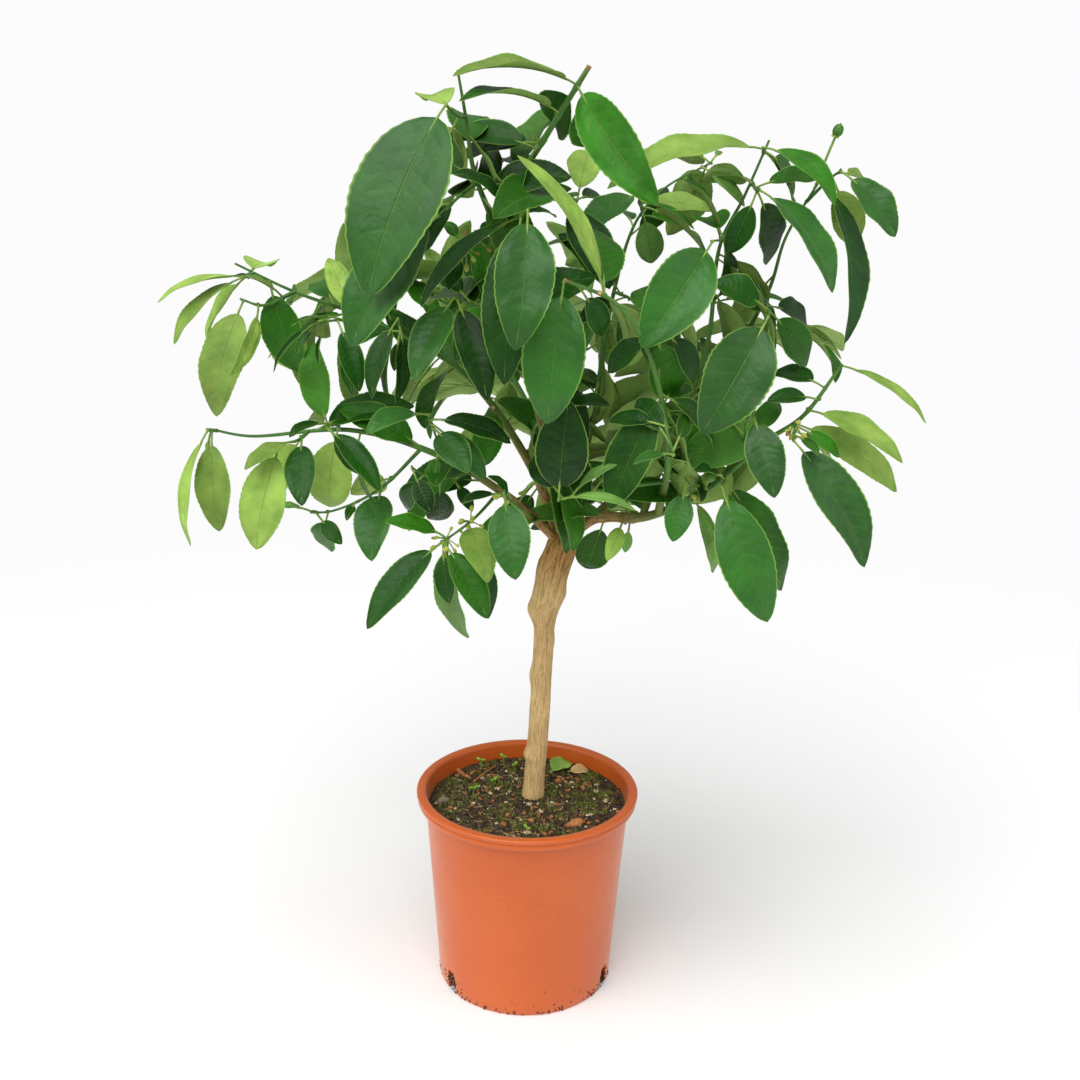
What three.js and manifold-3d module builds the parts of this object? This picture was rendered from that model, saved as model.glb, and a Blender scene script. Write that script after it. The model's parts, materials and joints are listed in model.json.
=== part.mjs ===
// A young lime tree grown as a small standard in a round plastic nursery pot.
// Millimetres, +Z up. The origin is the middle of the pot's flat base, and the tree's fullest
// side looks along -Y. The pot, the soil, the trunk, the limbs, the leafy shoots, the young fruit
// and the litter on the soil are separate pieces that stand clear of each other by one small gap.

import * as THREE from 'three';
import { mergeVertices } from 'three/addons/utils/BufferGeometryUtils.js';
import Module from 'manifold-3d';

const wasm = await Module();
wasm.setup();

// ---------------------------------------------------------------- driving sizes

const gap = 0.3;                 // air between pieces that touch on the real plant

const potHeight = 175;
const potRimRadius = 95;
const potBaseRadius = 75.3;
const potShoulderRadius = 87.2;  // outside of the wall just under the rolled lip
const potWall = 2.2;
const lipDepth = 10;             // height of the rolled lip
const lipWidth = 8.5;            // its flat top, from the outside edge inwards
const slotWidth = 13;            // drainage slots cut through the foot of the wall
const slotHeight = 20;
const slotAngles = [-55, 65, 185];   // degrees round the pot from the front, to the right

const soilDrop = 14;             // soil surface below the rim
const soilMound = 6;             // how much higher the soil stands round the trunk

const trunkHeight = 225;         // from the soil mound to the fork
const trunkRadius = 9;           // at the soil
const trunkTopRadius = 8;        // just under the fork
const forkRadius = 12.5;         // the swollen head that the limbs grow out of
const rootDepth = 70;            // how far the root stock goes down into the soil
const trunkLean = 20;            // how far the fork stands to the right of the trunk's foot

const crownReach = 300;          // the farthest leaves to the right, from the fork
const limbThickness = 1;         // multiplies the radius of every limb
const shootThickness = 1.6;      // radius of a twig at its root
const shootTipThickness = 1.3;   // and at its tip
const leafWidth = 1;             // multiplies the width of every leaf
const leafThickness = 1.2;       // at the midrib
const stalkLength = 11;          // of a leaf
const stalkThickness = 0.8;      // radius of a leaf's stalk
const bareStem = 3;              // bare stem kept between a branch's root and its first leaf
const leafBow = 0.1;             // how far a leaf arches, as a share of its length
const leafFold = 0.22;           // how far its edges rise, as a share of its half width
const longLeaf = 80;             // leaves longer than this get one more section
const limbStep = 26;             // length of one straight piece of a limb
const shootStep = 16;            // and of a twig
const fruitSize = 4;             // radius of a young fruit

const scrapOutline = [[-9, -3], [2, -5], [9, 0], [4, 4], [-7, 4]];   // the bark chip from above
const scrapThickness = 3.5;
const pebbleRadius = 6;
const dryTwigRadius = 0.9;

// Places in the crown are given from the fork, for a crown that reaches 300 mm. Its stems, stalks
// and fruit grow and shrink with it.
const crownUnit = crownReach / 300;
const shootRadius = shootThickness * crownUnit;
const shootTipRadius = shootTipThickness * crownUnit;
const petioleLength = stalkLength * crownUnit;
const petioleRadius = stalkThickness * crownUnit;
const stalkSpace = bareStem * crownUnit;
const fruitRadius = fruitSize * crownUnit;
const soilLevel = potHeight - soilDrop;
const fork = new THREE.Vector3(25, 0, soilLevel + soilMound + trunkHeight);
const trunkFoot = new THREE.Vector3(fork.x - trunkLean, 0, soilLevel + soilMound);

// ---------------------------------------------------------------- finishes

const finish = (color, roughness) => new THREE.MeshStandardMaterial({ color, roughness, metalness: 0 });
const finishes = {
  terracotta: finish('#dc6f3c', 0.42),
  soil: finish('#3a2c20', 0.95),
  bark: finish('#b79a68', 0.85),
  greenBark: finish('#4c7a3a', 0.6),
  matureLeaf: finish('#2f6b2c', 0.4),
  youngLeaf: finish('#8cbf4a', 0.45),
  fruit: finish('#4f8a34', 0.45),
  dryLeaf: finish('#b98a54', 0.8),
  stone: finish('#8c8478', 0.9),
};

// ---------------------------------------------------------------- solids

function toSolid(geometry) {
  const bare = geometry.clone();
  bare.deleteAttribute('normal');
  bare.deleteAttribute('uv');
  const merged = mergeVertices(bare, 1e-4);
  return new wasm.Manifold(new wasm.Mesh({
    numProp: 3,
    vertProperties: new Float32Array(merged.attributes.position.array),
    triVerts: new Uint32Array(merged.index.array),
  }));
}

function toGeometry(solid) {
  const mesh = solid.getMesh();
  const geometry = new THREE.BufferGeometry();
  geometry.setAttribute('position', new THREE.BufferAttribute(new Float32Array(mesh.vertProperties), 3));
  geometry.setIndex(new THREE.BufferAttribute(new Uint32Array(mesh.triVerts), 1));
  geometry.computeVertexNormals();
  return geometry;
}

// Rings of equal numbers of points, each joined to the next, with a fan closing each end.
function loft(rings) {
  const sides = rings[0].length;
  const points = rings.flat();
  const start = points.length;
  for (const ring of [rings[0], rings.at(-1)]) {
    points.push(ring.reduce((sum, p) => sum.add(p), new THREE.Vector3()).divideScalar(sides));
  }
  const index = [];
  for (let i = 0; i < rings.length - 1; i += 1) {
    for (let k = 0; k < sides; k += 1) {
      const a = i * sides + k;
      const b = i * sides + (k + 1) % sides;
      index.push(a, b, b + sides, a, b + sides, a + sides);
    }
  }
  const last = (rings.length - 1) * sides;
  for (let k = 0; k < sides; k += 1) {
    const next = (k + 1) % sides;
    index.push(start, next, k, start + 1, last + k, last + next);
  }
  const geometry = new THREE.BufferGeometry().setFromPoints(points);
  geometry.setIndex(index);
  return geometry;
}

// A round stem along a curve, whose radius is a function of the distance along it from 0 to 1.
function stemGeometry(curve, radiusAt, steps, sides) {
  const frames = curve.computeFrenetFrames(steps, false);
  const rings = [];
  for (let i = 0; i <= steps; i += 1) {
    const centre = curve.getPointAt(i / steps);
    const radius = radiusAt(i / steps);
    const ring = [];
    for (let k = 0; k < sides; k += 1) {
      const angle = 2 * Math.PI * k / sides;
      ring.push(centre.clone()
        .addScaledVector(frames.normals[i], radius * Math.cos(angle))
        .addScaledVector(frames.binormals[i], radius * Math.sin(angle)));
    }
    rings.push(ring);
  }
  return loft(rings);
}

const boxOf = (solid) => {
  const { min, max } = solid.boundingBox();
  return new THREE.Box3(new THREE.Vector3(...min), new THREE.Vector3(...max));
};

// ---------------------------------------------------------------- pot and soil

const wallRadiusAt = (z) => THREE.MathUtils.mapLinear(
  z, 0, potHeight - lipDepth, potBaseRadius, potShoulderRadius);

function potGeometry() {
  const lipBottom = potHeight - lipDepth;
  const lipInner = potRimRadius - lipWidth;
  const floor = potWall;
  const profile = [
    [0, 0],
    [potBaseRadius - 1, 0],
    [potBaseRadius, 1],
    [wallRadiusAt(lipBottom), lipBottom],
    [potRimRadius - 1.6, lipBottom],
    [potRimRadius - 0.8, lipBottom + 1],
    [potRimRadius - 0.8, potHeight - 4.5],
    [potRimRadius, potHeight - 3.5],
    [potRimRadius - 0.4, potHeight - 1],
    [potRimRadius - 1.8, potHeight],
    [lipInner + 1, potHeight],
    [lipInner, potHeight - 1],
    [wallRadiusAt(lipBottom) - potWall, lipBottom - 2],
    [wallRadiusAt(floor) - potWall, floor],
    [0, floor],
  ];
  return new THREE.LatheGeometry(profile.map(([r, z]) => new THREE.Vector2(r, z)), 40)
    .rotateX(Math.PI / 2);
}

// A slot narrows upwards, and opens through the wall and the edge of the base.
function slotGeometry(angle) {
  const outline = new THREE.Shape([
    new THREE.Vector2(-slotWidth / 2, -1),
    new THREE.Vector2(slotWidth / 2, -1),
    new THREE.Vector2(slotWidth * 0.38, slotHeight),
    new THREE.Vector2(-slotWidth * 0.38, slotHeight),
  ]);
  const reach = 12;
  return new THREE.ExtrudeGeometry(outline, { depth: reach, bevelEnabled: false })
    .translate(0, 0, potBaseRadius - reach + 5)
    .rotateX(Math.PI / 2)
    .rotateZ(THREE.MathUtils.degToRad(angle));
}

function makePot() {
  const slots = slotAngles.map((angle) => toSolid(slotGeometry(angle)));
  return slots.reduce((pot, slot) => pot.subtract(slot), toSolid(potGeometry()));
}

// Height of the soil surface at a distance from the pot's axis.
const soilTopAt = (r) => {
  const edge = wallRadiusAt(soilLevel) - potWall;
  return soilLevel + soilMound * Math.cos(Math.PI / 2 * Math.min(r / edge, 1)) ** 2;
};

function soilGeometry() {
  const bottom = potWall + gap;
  const edgeAt = (z) => wallRadiusAt(z) - potWall - gap;
  const rings = [0.8, 0.5, 0.25, 0];
  const profile = [
    [0, bottom],
    [edgeAt(bottom), bottom],
    [edgeAt(soilLevel), soilLevel],
    ...rings.map((share) => [share * edgeAt(soilLevel), soilTopAt(share * edgeAt(soilLevel))]),
  ];
  return new THREE.LatheGeometry(profile.map(([r, z]) => new THREE.Vector2(r, z)), 28)
    .rotateX(Math.PI / 2);
}

// ---------------------------------------------------------------- trunk

// The trunk bends a little on its way up, and is measured from its foot to the fork.
const trunkCurve = new THREE.CatmullRomCurve3([
  new THREE.Vector3(trunkFoot.x - 1, 0, trunkFoot.z - rootDepth),
  trunkFoot,
  new THREE.Vector3(trunkFoot.x + 0.2 * trunkLean, 0, trunkFoot.z + 0.3 * trunkHeight),
  new THREE.Vector3(trunkFoot.x + 0.3 * trunkLean, 0, trunkFoot.z + 0.56 * trunkHeight),
  new THREE.Vector3(trunkFoot.x + 0.45 * trunkLean, 0, trunkFoot.z + 0.8 * trunkHeight),
  fork,
], false, 'centripetal');

const trunkRadiusAt = (extra) => (t) => {
  const share = THREE.MathUtils.clamp(t, 0, 1);
  const plain = THREE.MathUtils.lerp(trunkRadius, trunkTopRadius, share);
  const head = (forkRadius - trunkTopRadius) * THREE.MathUtils.smoothstep(share, 0.82, 0.97);
  return plain + head + extra;
};

function trunkSolid(extra) {
  const stem = toSolid(stemGeometry(trunkCurve, trunkRadiusAt(extra), 16, 10));
  const crown = new THREE.SphereGeometry(forkRadius + extra, 10, 8).translate(fork.x, fork.y, fork.z);
  return stem.add(toSolid(crown));
}

// ---------------------------------------------------------------- leaves

const leaf = (along, tip, ratio, turn, tilt, tone) => ({ along, tip, ratio, turn, tilt, tone });

// The direction a leaf's upper face looks: turn is measured round the tree from the front to the
// right, tilt is measured up from level.
function facing(turn, tilt) {
  const azimuth = THREE.MathUtils.degToRad(turn);
  const rise = THREE.MathUtils.degToRad(tilt);
  return new THREE.Vector3(
    Math.sin(azimuth) * Math.cos(rise), -Math.cos(azimuth) * Math.cos(rise), Math.sin(rise));
}

// Half of a leaf's width along its blade, as a share of the full half width.
const outlineAt = (s) => Math.sin(Math.PI * s ** 0.86) ** 0.75;

// A leaf is a short stalk and a folded, bowed blade that is thickest at its midrib.
function leafGeometry(base, tip, { ratio, turn, tilt }, extra = 0, bladeOnly = false) {
  const span = tip.clone().sub(base);
  const length = span.length();
  const along = span.clone().normalize();
  const up = facing(turn, tilt);
  up.addScaledVector(along, -up.dot(along)).normalize();
  const side = new THREE.Vector3().crossVectors(along, up);
  const bladeStart = petioleLength / length;
  const shares = length > longLeaf * crownUnit ? [0.2, 0.5, 0.8] : [0.3, 0.7];
  const halfWidth = 0.5 * ratio * leafWidth * (length - petioleLength);
  const middle = (s) => base.clone().addScaledVector(span, s)
    .addScaledVector(up, leafBow * length * 4 * s * (1 - s) * (1 - 0.35 * s));
  const section = (centre, half, thick, lift) => [
    centre.clone().addScaledVector(side, half + extra).addScaledVector(up, lift),
    centre.clone().addScaledVector(up, thick + extra),
    centre.clone().addScaledVector(side, -half - extra).addScaledVector(up, lift),
    centre.clone().addScaledVector(up, -thick - extra),
  ];
  const stalk = section(base, petioleRadius, petioleRadius, 0);
  const blade = shares.map((s) => {
    const half = halfWidth * outlineAt(s);
    return section(middle(bladeStart + s * (1 - bladeStart)), half, leafThickness / 2, leafFold * half);
  });
  const rows = bladeOnly ? blade : [stalk, ...blade];
  const start = bladeOnly ? middle(bladeStart) : base.clone().sub(along);
  const points = [start, ...rows.flat(), tip];
  const end = points.length - 1;
  const index = [];
  for (let k = 0; k < 4; k += 1) {
    const next = (k + 1) % 4;
    index.push(0, 1 + k, 1 + next);
    for (let i = 0; i < rows.length - 1; i += 1) {
      const a = 1 + 4 * i + k;
      const b = 1 + 4 * i + next;
      index.push(a, b + 4, b, a, a + 4, b + 4);
    }
    index.push(end, end - 4 + next, end - 4 + k);
  }
  const geometry = new THREE.BufferGeometry().setFromPoints(points);
  geometry.setIndex(index);
  return geometry;
}

// ---------------------------------------------------------------- where everything grows
//
// Each branch starts on another one, at a share of that one's length, and passes through a few
// points. A leaf's row gives the share of the branch that it grows at, its tip, its width as a
// share of its length, the turn and tilt of its upper face, and its tone.

const branches = [
  { name: 'limb_right', on: 'trunk', at: 1.00, radius: 5.2, tip: 2.0,
    path: [[25, -10, 25], [65, -20, 30], [105, -25, 50], [155, -30, 95], [180, -35, 115],
      [205, -40, 155]],
    leaves: [
      leaf(1, [275, -40, 115], 0.16, 0, 60, 'young'),
      leaf(0.84, [250, -70, 90], 0.34, 10, 55, 'young'),
      leaf(0.92, [160, 0, 145], 0.5, 0, 50, 'dark'),
      leaf(0.88, [150, -50, 130], 0.5, 0, 50, 'dark'),
      leaf(0.18, [35, -40, 0], 0.5, 0, 10, 'young'),
      leaf(0.2, [50, -20, 0], 0.5, 0, 10, 'pale'),
      leaf(0.12, [20, 10, -25], 0.6, 0, 10, 'mid'),
    ] },
  { name: 'limb_left_low', on: 'trunk', at: 1.00, radius: 4.2, tip: 1.6,
    path: [[-35, -10, 35], [-95, -20, 75], [-165, -20, 95], [-245, -25, 90], [-275, -25, 95]],
  },
  { name: 'limb_left_high', on: 'trunk', at: 1.00, radius: 4.6, tip: 1.5,
    path: [[-25, 30, 55], [-80, 40, 130], [-150, 15, 175], [-210, -10, 200], [-250, -20, 220]],
  },
  { name: 'leader', on: 'trunk', at: 1.00, radius: 5, tip: 3.2,
    path: [[-15, -5, 90], [-55, -20, 220], [-55, -30, 260], [-25, -45, 305], [10, -60, 360]],
    leaves: [
      leaf(0.96, [-80, -110, 350], 0.36, -10, 70, 'young'),
      leaf(0.96, [55, -120, 270], 0.34, -50, 30, 'mid'),
      leaf(0.96, [20, -20, 310], 0.9, 0, 10, 'mid'),
      leaf(0.96, [-15, -10, 320], 0.8, -10, 10, 'mid'),
      leaf(0.9, [-75, -120, 335], 0.3, -10, 75, 'mid'),
      leaf(0.84, [-30, -60, 315], 0.5, 180, -20, 'pale'),
    ] },
  { name: 'limb_top_left', on: 'leader', at: 0.67, radius: 2.4, tip: 1.6,
    path: [[-70, -50, 290], [-75, -60, 325], [-80, -70, 355]],
  },
  { name: 'limb_right_high', on: 'limb_right', at: 0.28, radius: 3.2, tip: 1.6,
    path: [[80, 0, 75], [110, 10, 160], [115, 0, 240], [130, -5, 275], [145, -10, 315]],
  },
  { name: 'limb_right_back', on: 'limb_right', at: 0.13, radius: 4, tip: 1.5,
    path: [[105, 70, 90], [160, 40, 200], [170, 30, 245], [190, 10, 290]],
  },
  { name: 'limb_front', on: 'limb_right', at: 0.33, radius: 3.4, tip: 2,
    path: [[75, -75, 95], [55, -100, 170], [30, -120, 205], [-5, -125, 220]],
    leaves: [
      leaf(1, [-15, -140, 125], 0.5, -5, 15, 'gloss'),
      leaf(0.88, [-35, -130, 300], 0.26, 60, 30, 'young'),
      leaf(0.88, [10, -60, 255], 0.55, 30, 20, 'mid'),
      leaf(0.96, [25, -100, 180], 0.5, 10, 20, 'dark'),
    ] },
  { name: 'limb_back', on: 'trunk', at: 1.00, radius: 4.2, tip: 1.2,
    path: [[25, 90, 85], [40, 75, 200], [55, 60, 255], [75, 50, 280], [110, 45, 300]],
    leaves: [
      leaf(0.98, [135, 20, 270], 0.3, 0, 40, 'pale'),
      leaf(1, [120, 60, 310], 0.5, 0, 40, 'pale'),
    ] },
  { name: 'limb_back_left', on: 'limb_left_high', at: 0.22, radius: 3.4, tip: 1.6,
    path: [[-20, 90, 75], [-75, 120, 160], [-125, 110, 195]],
  },
  { name: 'limb_back_right', on: 'limb_back', at: 0.25, radius: 3, tip: 1.6,
    path: [[70, 110, 65], [125, 150, 125], [160, 150, 150]],
  },
  { name: 'shoot_tip_left_high', on: 'limb_left_high', at: 0.96,
    path: [[-245, -20, 210]],
    leaves: [
      leaf(0.7, [-305, -40, 195], 0.3, -30, 75, 'young'),
      leaf(0.74, [-295, -45, 165], 0.36, -50, 50, 'young'),
      leaf(0, [-220, 25, 235], 0.62, 0, 35, 'young'),
      leaf(0.06, [-285, 5, 150], 0.3, -60, 20, 'young'),
    ] },
  { name: 'shoot_left_high_fan', on: 'limb_left_high', at: 0.87,
    path: [[-230, -25, 190], [-245, -30, 195]],
    leaves: [
      leaf(0.94, [-265, -50, 110], 0.46, -10, 15, 'young'),
      leaf(0.66, [-245, -60, 140], 0.3, 70, 15, 'young'),
      leaf(0.14, [-245, -50, 215], 0.3, -40, 80, 'dark'),
      leaf(0.14, [-215, 5, 135], 0.6, 0, 20, 'young'),
    ] },
  { name: 'shoot_left_high_dark', on: 'limb_left_high', at: 0.68,
    path: [[-170, -20, 180], [-185, -40, 180]],
    leaves: [
      leaf(0.62, [-205, -45, 180], 0.28, -60, 45, 'dark'),
      leaf(0.84, [-195, -60, 175], 0.38, -30, 40, 'dark'),
      leaf(0.98, [-200, -55, 160], 0.42, -20, 30, 'dark'),
      leaf(1, [-220, -50, 145], 0.3, -60, 40, 'dark'),
      leaf(0.86, [-185, -50, 150], 0.3, -65, 20, 'dark'),
      leaf(0.7, [-155, -45, 130], 0.4, 20, 20, 'dark'),
      leaf(0.34, [-165, -30, 125], 0.34, -40, 20, 'dark'),
      leaf(0.46, [-185, 10, 225], 0.45, 0, 60, 'young'),
    ] },
  { name: 'shoot_left_high_inner', on: 'limb_left_high', at: 0.55,
    path: [[-125, -20, 170], [-125, -50, 185]],
    leaves: [
      leaf(1, [-145, -70, 130], 0.4, -30, 20, 'dark'),
      leaf(0.84, [-125, -60, 125], 0.36, 50, 10, 'dark'),
      leaf(0.72, [-130, -40, 145], 0.42, 0, 30, 'dark'),
      leaf(0.68, [-175, 10, 155], 0.4, 0, 50, 'dark'),
    ] },
  { name: 'shoot_tip_left_low', on: 'limb_left_low', at: 0.98,
    path: [[-275, -30, 95]],
    leaves: [
      leaf(1, [-295, -40, 5], 0.26, -55, 15, 'young'),
      leaf(0, [-270, -35, 15], 0.4, 0, 10, 'young'),
      leaf(0, [-285, 10, 90], 0.4, 0, 60, 'young'),
    ] },
  { name: 'shoot_left_low_outer', on: 'limb_left_low', at: 0.75,
    path: [[-205, -40, 90], [-215, -50, 90]],
    leaves: [
      leaf(1, [-235, -65, 10], 0.48, -5, 15, 'young'),
      leaf(0.52, [-240, -70, 70], 0.42, -20, 45, 'young'),
      leaf(0.22, [-195, -80, 50], 0.46, 0, 10, 'dark'),
      leaf(0.04, [-245, 10, 30], 0.4, 0, 20, 'young'),
    ] },
  { name: 'shoot_left_low_fold', on: 'limb_left_low', at: 0.67,
    path: [[-175, -50, 105], [-180, -65, 105]],
    leaves: [
      leaf(0.92, [-135, -90, 65], 0.36, 30, 35, 'dark'),
      leaf(0.8, [-150, -70, 70], 0.36, -30, 20, 'dark'),
      leaf(0.7, [-200, -90, 105], 0.4, -20, 70, 'dark'),
      leaf(0.16, [-190, 0, 25], 0.5, 0, 10, 'young'),
    ] },
  { name: 'shoot_left_low_drop', on: 'limb_left_low', at: 0.46,
    path: [[-145, -30, 50], [-180, -40, 35], [-195, -45, 35]],
    leaves: [
      leaf(0.98, [-230, -30, 35], 0.3, 0, 70, 'pale'),
      leaf(0.96, [-170, -60, 15], 0.6, 0, 20, 'dark'),
      leaf(0.86, [-190, -10, -5], 0.6, -10, 20, 'mid'),
      leaf(0.38, [-145, -80, 10], 0.56, -10, 15, 'gloss'),
      leaf(0.28, [-170, 0, 40], 0.6, 180, 10, 'pale'),
      leaf(0.62, [-165, -60, 35], 0.5, 0, 30, 'mid'),
    ] },
  { name: 'shoot_left_low_front', on: 'limb_left_low', at: 0.37,
    path: [[-95, -60, 95], [-100, -85, 120]],
    leaves: [
      leaf(1, [-140, -120, 115], 0.52, -20, 60, 'gloss'),
      leaf(0.8, [-70, -110, 85], 0.6, 10, 30, 'gloss'),
      leaf(0.86, [-60, -95, 75], 0.44, 30, 25, 'gloss'),
      leaf(0.92, [-40, -100, 105], 0.42, 20, 60, 'dark'),
      leaf(0.46, [-100, -70, 65], 0.5, -10, 20, 'mid'),
    ] },
  { name: 'shoot_left_low_inner', on: 'limb_left_low', at: 0.32,
    path: [[-100, -50, 65], [-115, -60, 75]],
    leaves: [
      leaf(1, [-100, -75, 45], 0.62, 0, 20, 'dark'),
      leaf(0.8, [-125, -30, 35], 0.5, -20, 20, 'dark'),
      leaf(0.52, [-100, -10, 20], 0.5, 10, 20, 'dark'),
      leaf(0.28, [-70, -50, 40], 0.5, 10, 20, 'dark'),
    ] },
  { name: 'shoot_flowers_left', on: 'limb_left_low', at: 0.23,
    path: [[-70, -60, 35], [-90, -85, 25]],
    leaves: [
      leaf(1, [-145, -110, -35], 0.38, -30, 30, 'dark'),
      leaf(1, [-55, -110, -25], 0.42, 20, 20, 'mid'),
      leaf(1, [-85, -95, -20], 0.46, -10, 20, 'dark'),
      leaf(0.92, [-75, -50, -65], 0.34, -40, 10, 'pale'),
      leaf(0.64, [-55, -125, 10], 0.46, 10, 20, 'young'),
      leaf(0.94, [-130, -100, 45], 0.46, -10, 60, 'mid'),
      leaf(0.76, [-55, -70, -40], 0.34, 50, 10, 'dark'),
    ] },
  { name: 'shoot_low_middle', on: 'limb_left_low', at: 0.10,
    path: [[-40, -60, 50], [-45, -90, 65]],
    leaves: [
      leaf(1, [-35, -125, 10], 0.56, 0, 15, 'gloss'),
      leaf(0.88, [-75, -100, 60], 0.4, 0, 70, 'dark'),
      leaf(0.64, [-55, -80, 75], 0.42, 0, 50, 'dark'),
      leaf(0.52, [-65, -40, 10], 0.4, -10, 40, 'mid'),
    ] },
  { name: 'shoot_top_big', on: 'limb_top_left', at: 0.72,
    path: [[-80, -90, 325], [-85, -110, 330]],
    leaves: [
      leaf(1, [-135, -150, 210], 0.52, -15, 20, 'gloss'),
      leaf(0.7, [-105, -40, 340], 0.5, 0, 50, 'young'),
      leaf(0.36, [-95, -60, 290], 0.4, 0, 20, 'dark'),
    ] },
  { name: 'shoot_top_left_low', on: 'limb_top_left', at: 0.31,
    path: [[-80, -90, 270], [-90, -110, 260]],
    leaves: [
      leaf(1, [-150, -130, 175], 0.5, -25, 20, 'gloss'),
      leaf(0.04, [-70, -20, 350], 0.44, 0, 10, 'young'),
      leaf(0.74, [-155, -60, 235], 0.35, -30, 50, 'dark'),
      leaf(0.42, [-110, -60, 230], 0.4, -10, 30, 'dark'),
    ] },
  { name: 'shoot_leader_left', on: 'leader', at: 0.71,
    path: [[-40, -60, 260], [-35, -100, 260], [-30, -130, 265]],
    leaves: [
      leaf(1, [-35, -170, 180], 0.48, 10, 20, 'gloss'),
      leaf(0.18, [-80, -90, 290], 0.42, 0, 50, 'dark'),
      leaf(0.5, [-105, -100, 200], 0.3, -50, 50, 'dark'),
      leaf(0.7, [-45, -130, 150], 0.36, -10, 15, 'dark'),
      leaf(0.3, [-10, -30, 260], 0.35, 0, 60, 'mid'),
    ] },
  { name: 'shoot_leader_right', on: 'leader', at: 0.78,
    path: [[-10, -20, 270], [5, -10, 270]],
    leaves: [
      leaf(1, [-75, -80, 295], 0.44, 0, 60, 'mid'),
      leaf(1, [15, 40, 310], 0.5, 0, 40, 'young'),
      leaf(0.76, [30, -50, 210], 0.5, 20, 20, 'dark'),
      leaf(0.96, [30, 30, 270], 0.5, 0, 50, 'mid'),
    ] },
  { name: 'shoot_leader_inner', on: 'leader', at: 0.42,
    path: [[-55, -60, 190], [-80, -100, 205]],
    leaves: [
      leaf(1, [-105, -140, 155], 0.46, -15, 20, 'gloss'),
      leaf(0.98, [-55, -130, 140], 0.4, 15, 15, 'dark'),
      leaf(0.8, [-95, -60, 220], 0.5, 0, 40, 'dark'),
      leaf(0.54, [-85, -50, 155], 0.5, 0, 30, 'dark'),
      leaf(0.44, [-65, -10, 235], 0.4, 0, 40, 'mid'),
    ] },
  { name: 'shoot_leader_flowers', on: 'leader', at: 0.64,
    path: [[-70, -60, 240], [-75, -70, 235]],
    leaves: [
      leaf(0.94, [-90, -60, 255], 0.6, 0, 30, 'mid'),
      leaf(0.78, [-55, -50, 255], 0.6, 0, 30, 'dark'),
      leaf(1, [-85, -90, 210], 0.5, 0, 20, 'dark'),
    ] },
  { name: 'shoot_front_upright', on: 'limb_front', at: 0.18,
    path: [[25, -80, 65], [-5, -90, 60]],
    leaves: [
      leaf(1, [0, -100, 135], 0.6, -5, 20, 'dark'),
      leaf(0.96, [50, -110, 60], 0.28, 10, 70, 'pale'),
      leaf(0.88, [35, -100, 90], 0.3, 20, 60, 'pale'),
      leaf(0.68, [50, -60, 100], 0.42, 20, 40, 'dark'),
      leaf(0.96, [-25, -50, 85], 0.5, -20, 30, 'dark'),
    ] },
  { name: 'shoot_front_mid', on: 'limb_front', at: 0.50,
    path: [[70, -110, 115], [75, -115, 100]],
    leaves: [
      leaf(1, [45, -140, 100], 0.32, 0, 65, 'gloss'),
      leaf(0.92, [85, -90, 125], 0.5, 20, 20, 'mid'),
      leaf(0.78, [50, -80, 135], 0.5, -10, 30, 'dark'),
      leaf(0.46, [30, -90, 120], 0.5, -10, 50, 'dark'),
    ] },
  { name: 'shoot_front_high', on: 'limb_front', at: 0.72,
    path: [[55, -100, 185], [65, -95, 185]],
    leaves: [
      leaf(0.64, [30, -90, 150], 0.5, -10, 30, 'dark'),
      leaf(1, [95, -70, 145], 0.5, 20, 30, 'dark'),
      leaf(1, [50, -50, 210], 0.55, 0, 30, 'mid'),
      leaf(0.56, [80, -60, 130], 0.5, 0, 20, 'mid'),
    ] },
  { name: 'shoot_right_high_big', on: 'limb_right_high', at: 0.76,
    path: [[110, -40, 245], [100, -70, 245]],
    leaves: [
      leaf(1, [50, -110, 175], 0.52, 10, 20, 'gloss'),
      leaf(0.28, [105, 30, 260], 0.6, 0, 30, 'mid'),
      leaf(0.26, [115, 20, 195], 0.4, 30, 20, 'dark'),
    ] },
  { name: 'shoot_right_high_top', on: 'limb_right_high', at: 0.97,
    path: [[140, -20, 310]],
    leaves: [
      leaf(0.54, [25, -50, 285], 0.32, -10, 65, 'young'),
      leaf(1, [185, -70, 275], 0.44, 30, 40, 'mid'),
      leaf(0, [165, 20, 295], 0.6, 0, 40, 'gloss'),
      leaf(0, [190, 30, 275], 0.4, 10, 40, 'mid'),
    ] },
  { name: 'shoot_right_high_side', on: 'limb_right_high', at: 0.90,
    path: [[135, -30, 280], [135, -45, 280]],
    leaves: [
      leaf(1, [185, -90, 215], 0.42, 40, 40, 'gloss'),
      leaf(0.64, [115, -20, 235], 0.5, 10, 20, 'dark'),
      leaf(0.36, [185, 10, 290], 0.36, 0, 50, 'mid'),
      leaf(0.62, [155, 10, 225], 0.5, 20, 20, 'dark'),
      leaf(0.1, [105, 0, 295], 0.3, 0, 60, 'pale'),
    ] },
  { name: 'shoot_right_back_tip', on: 'limb_right_back', at: 0.94,
    path: [[195, 0, 290], [200, -10, 295]],
    leaves: [
      leaf(0.98, [240, -30, 250], 0.52, 10, 35, 'gloss'),
      leaf(0.7, [220, 10, 240], 0.56, 0, 10, 'young'),
      leaf(0.46, [205, -60, 175], 0.34, 50, 15, 'dark'),
      leaf(0.88, [245, 40, 275], 0.4, 10, 60, 'young'),
    ] },
  { name: 'shoot_right_back_mid', on: 'limb_right_back', at: 0.73,
    path: [[150, -20, 195], [145, -60, 195], [140, -85, 195]],
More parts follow.
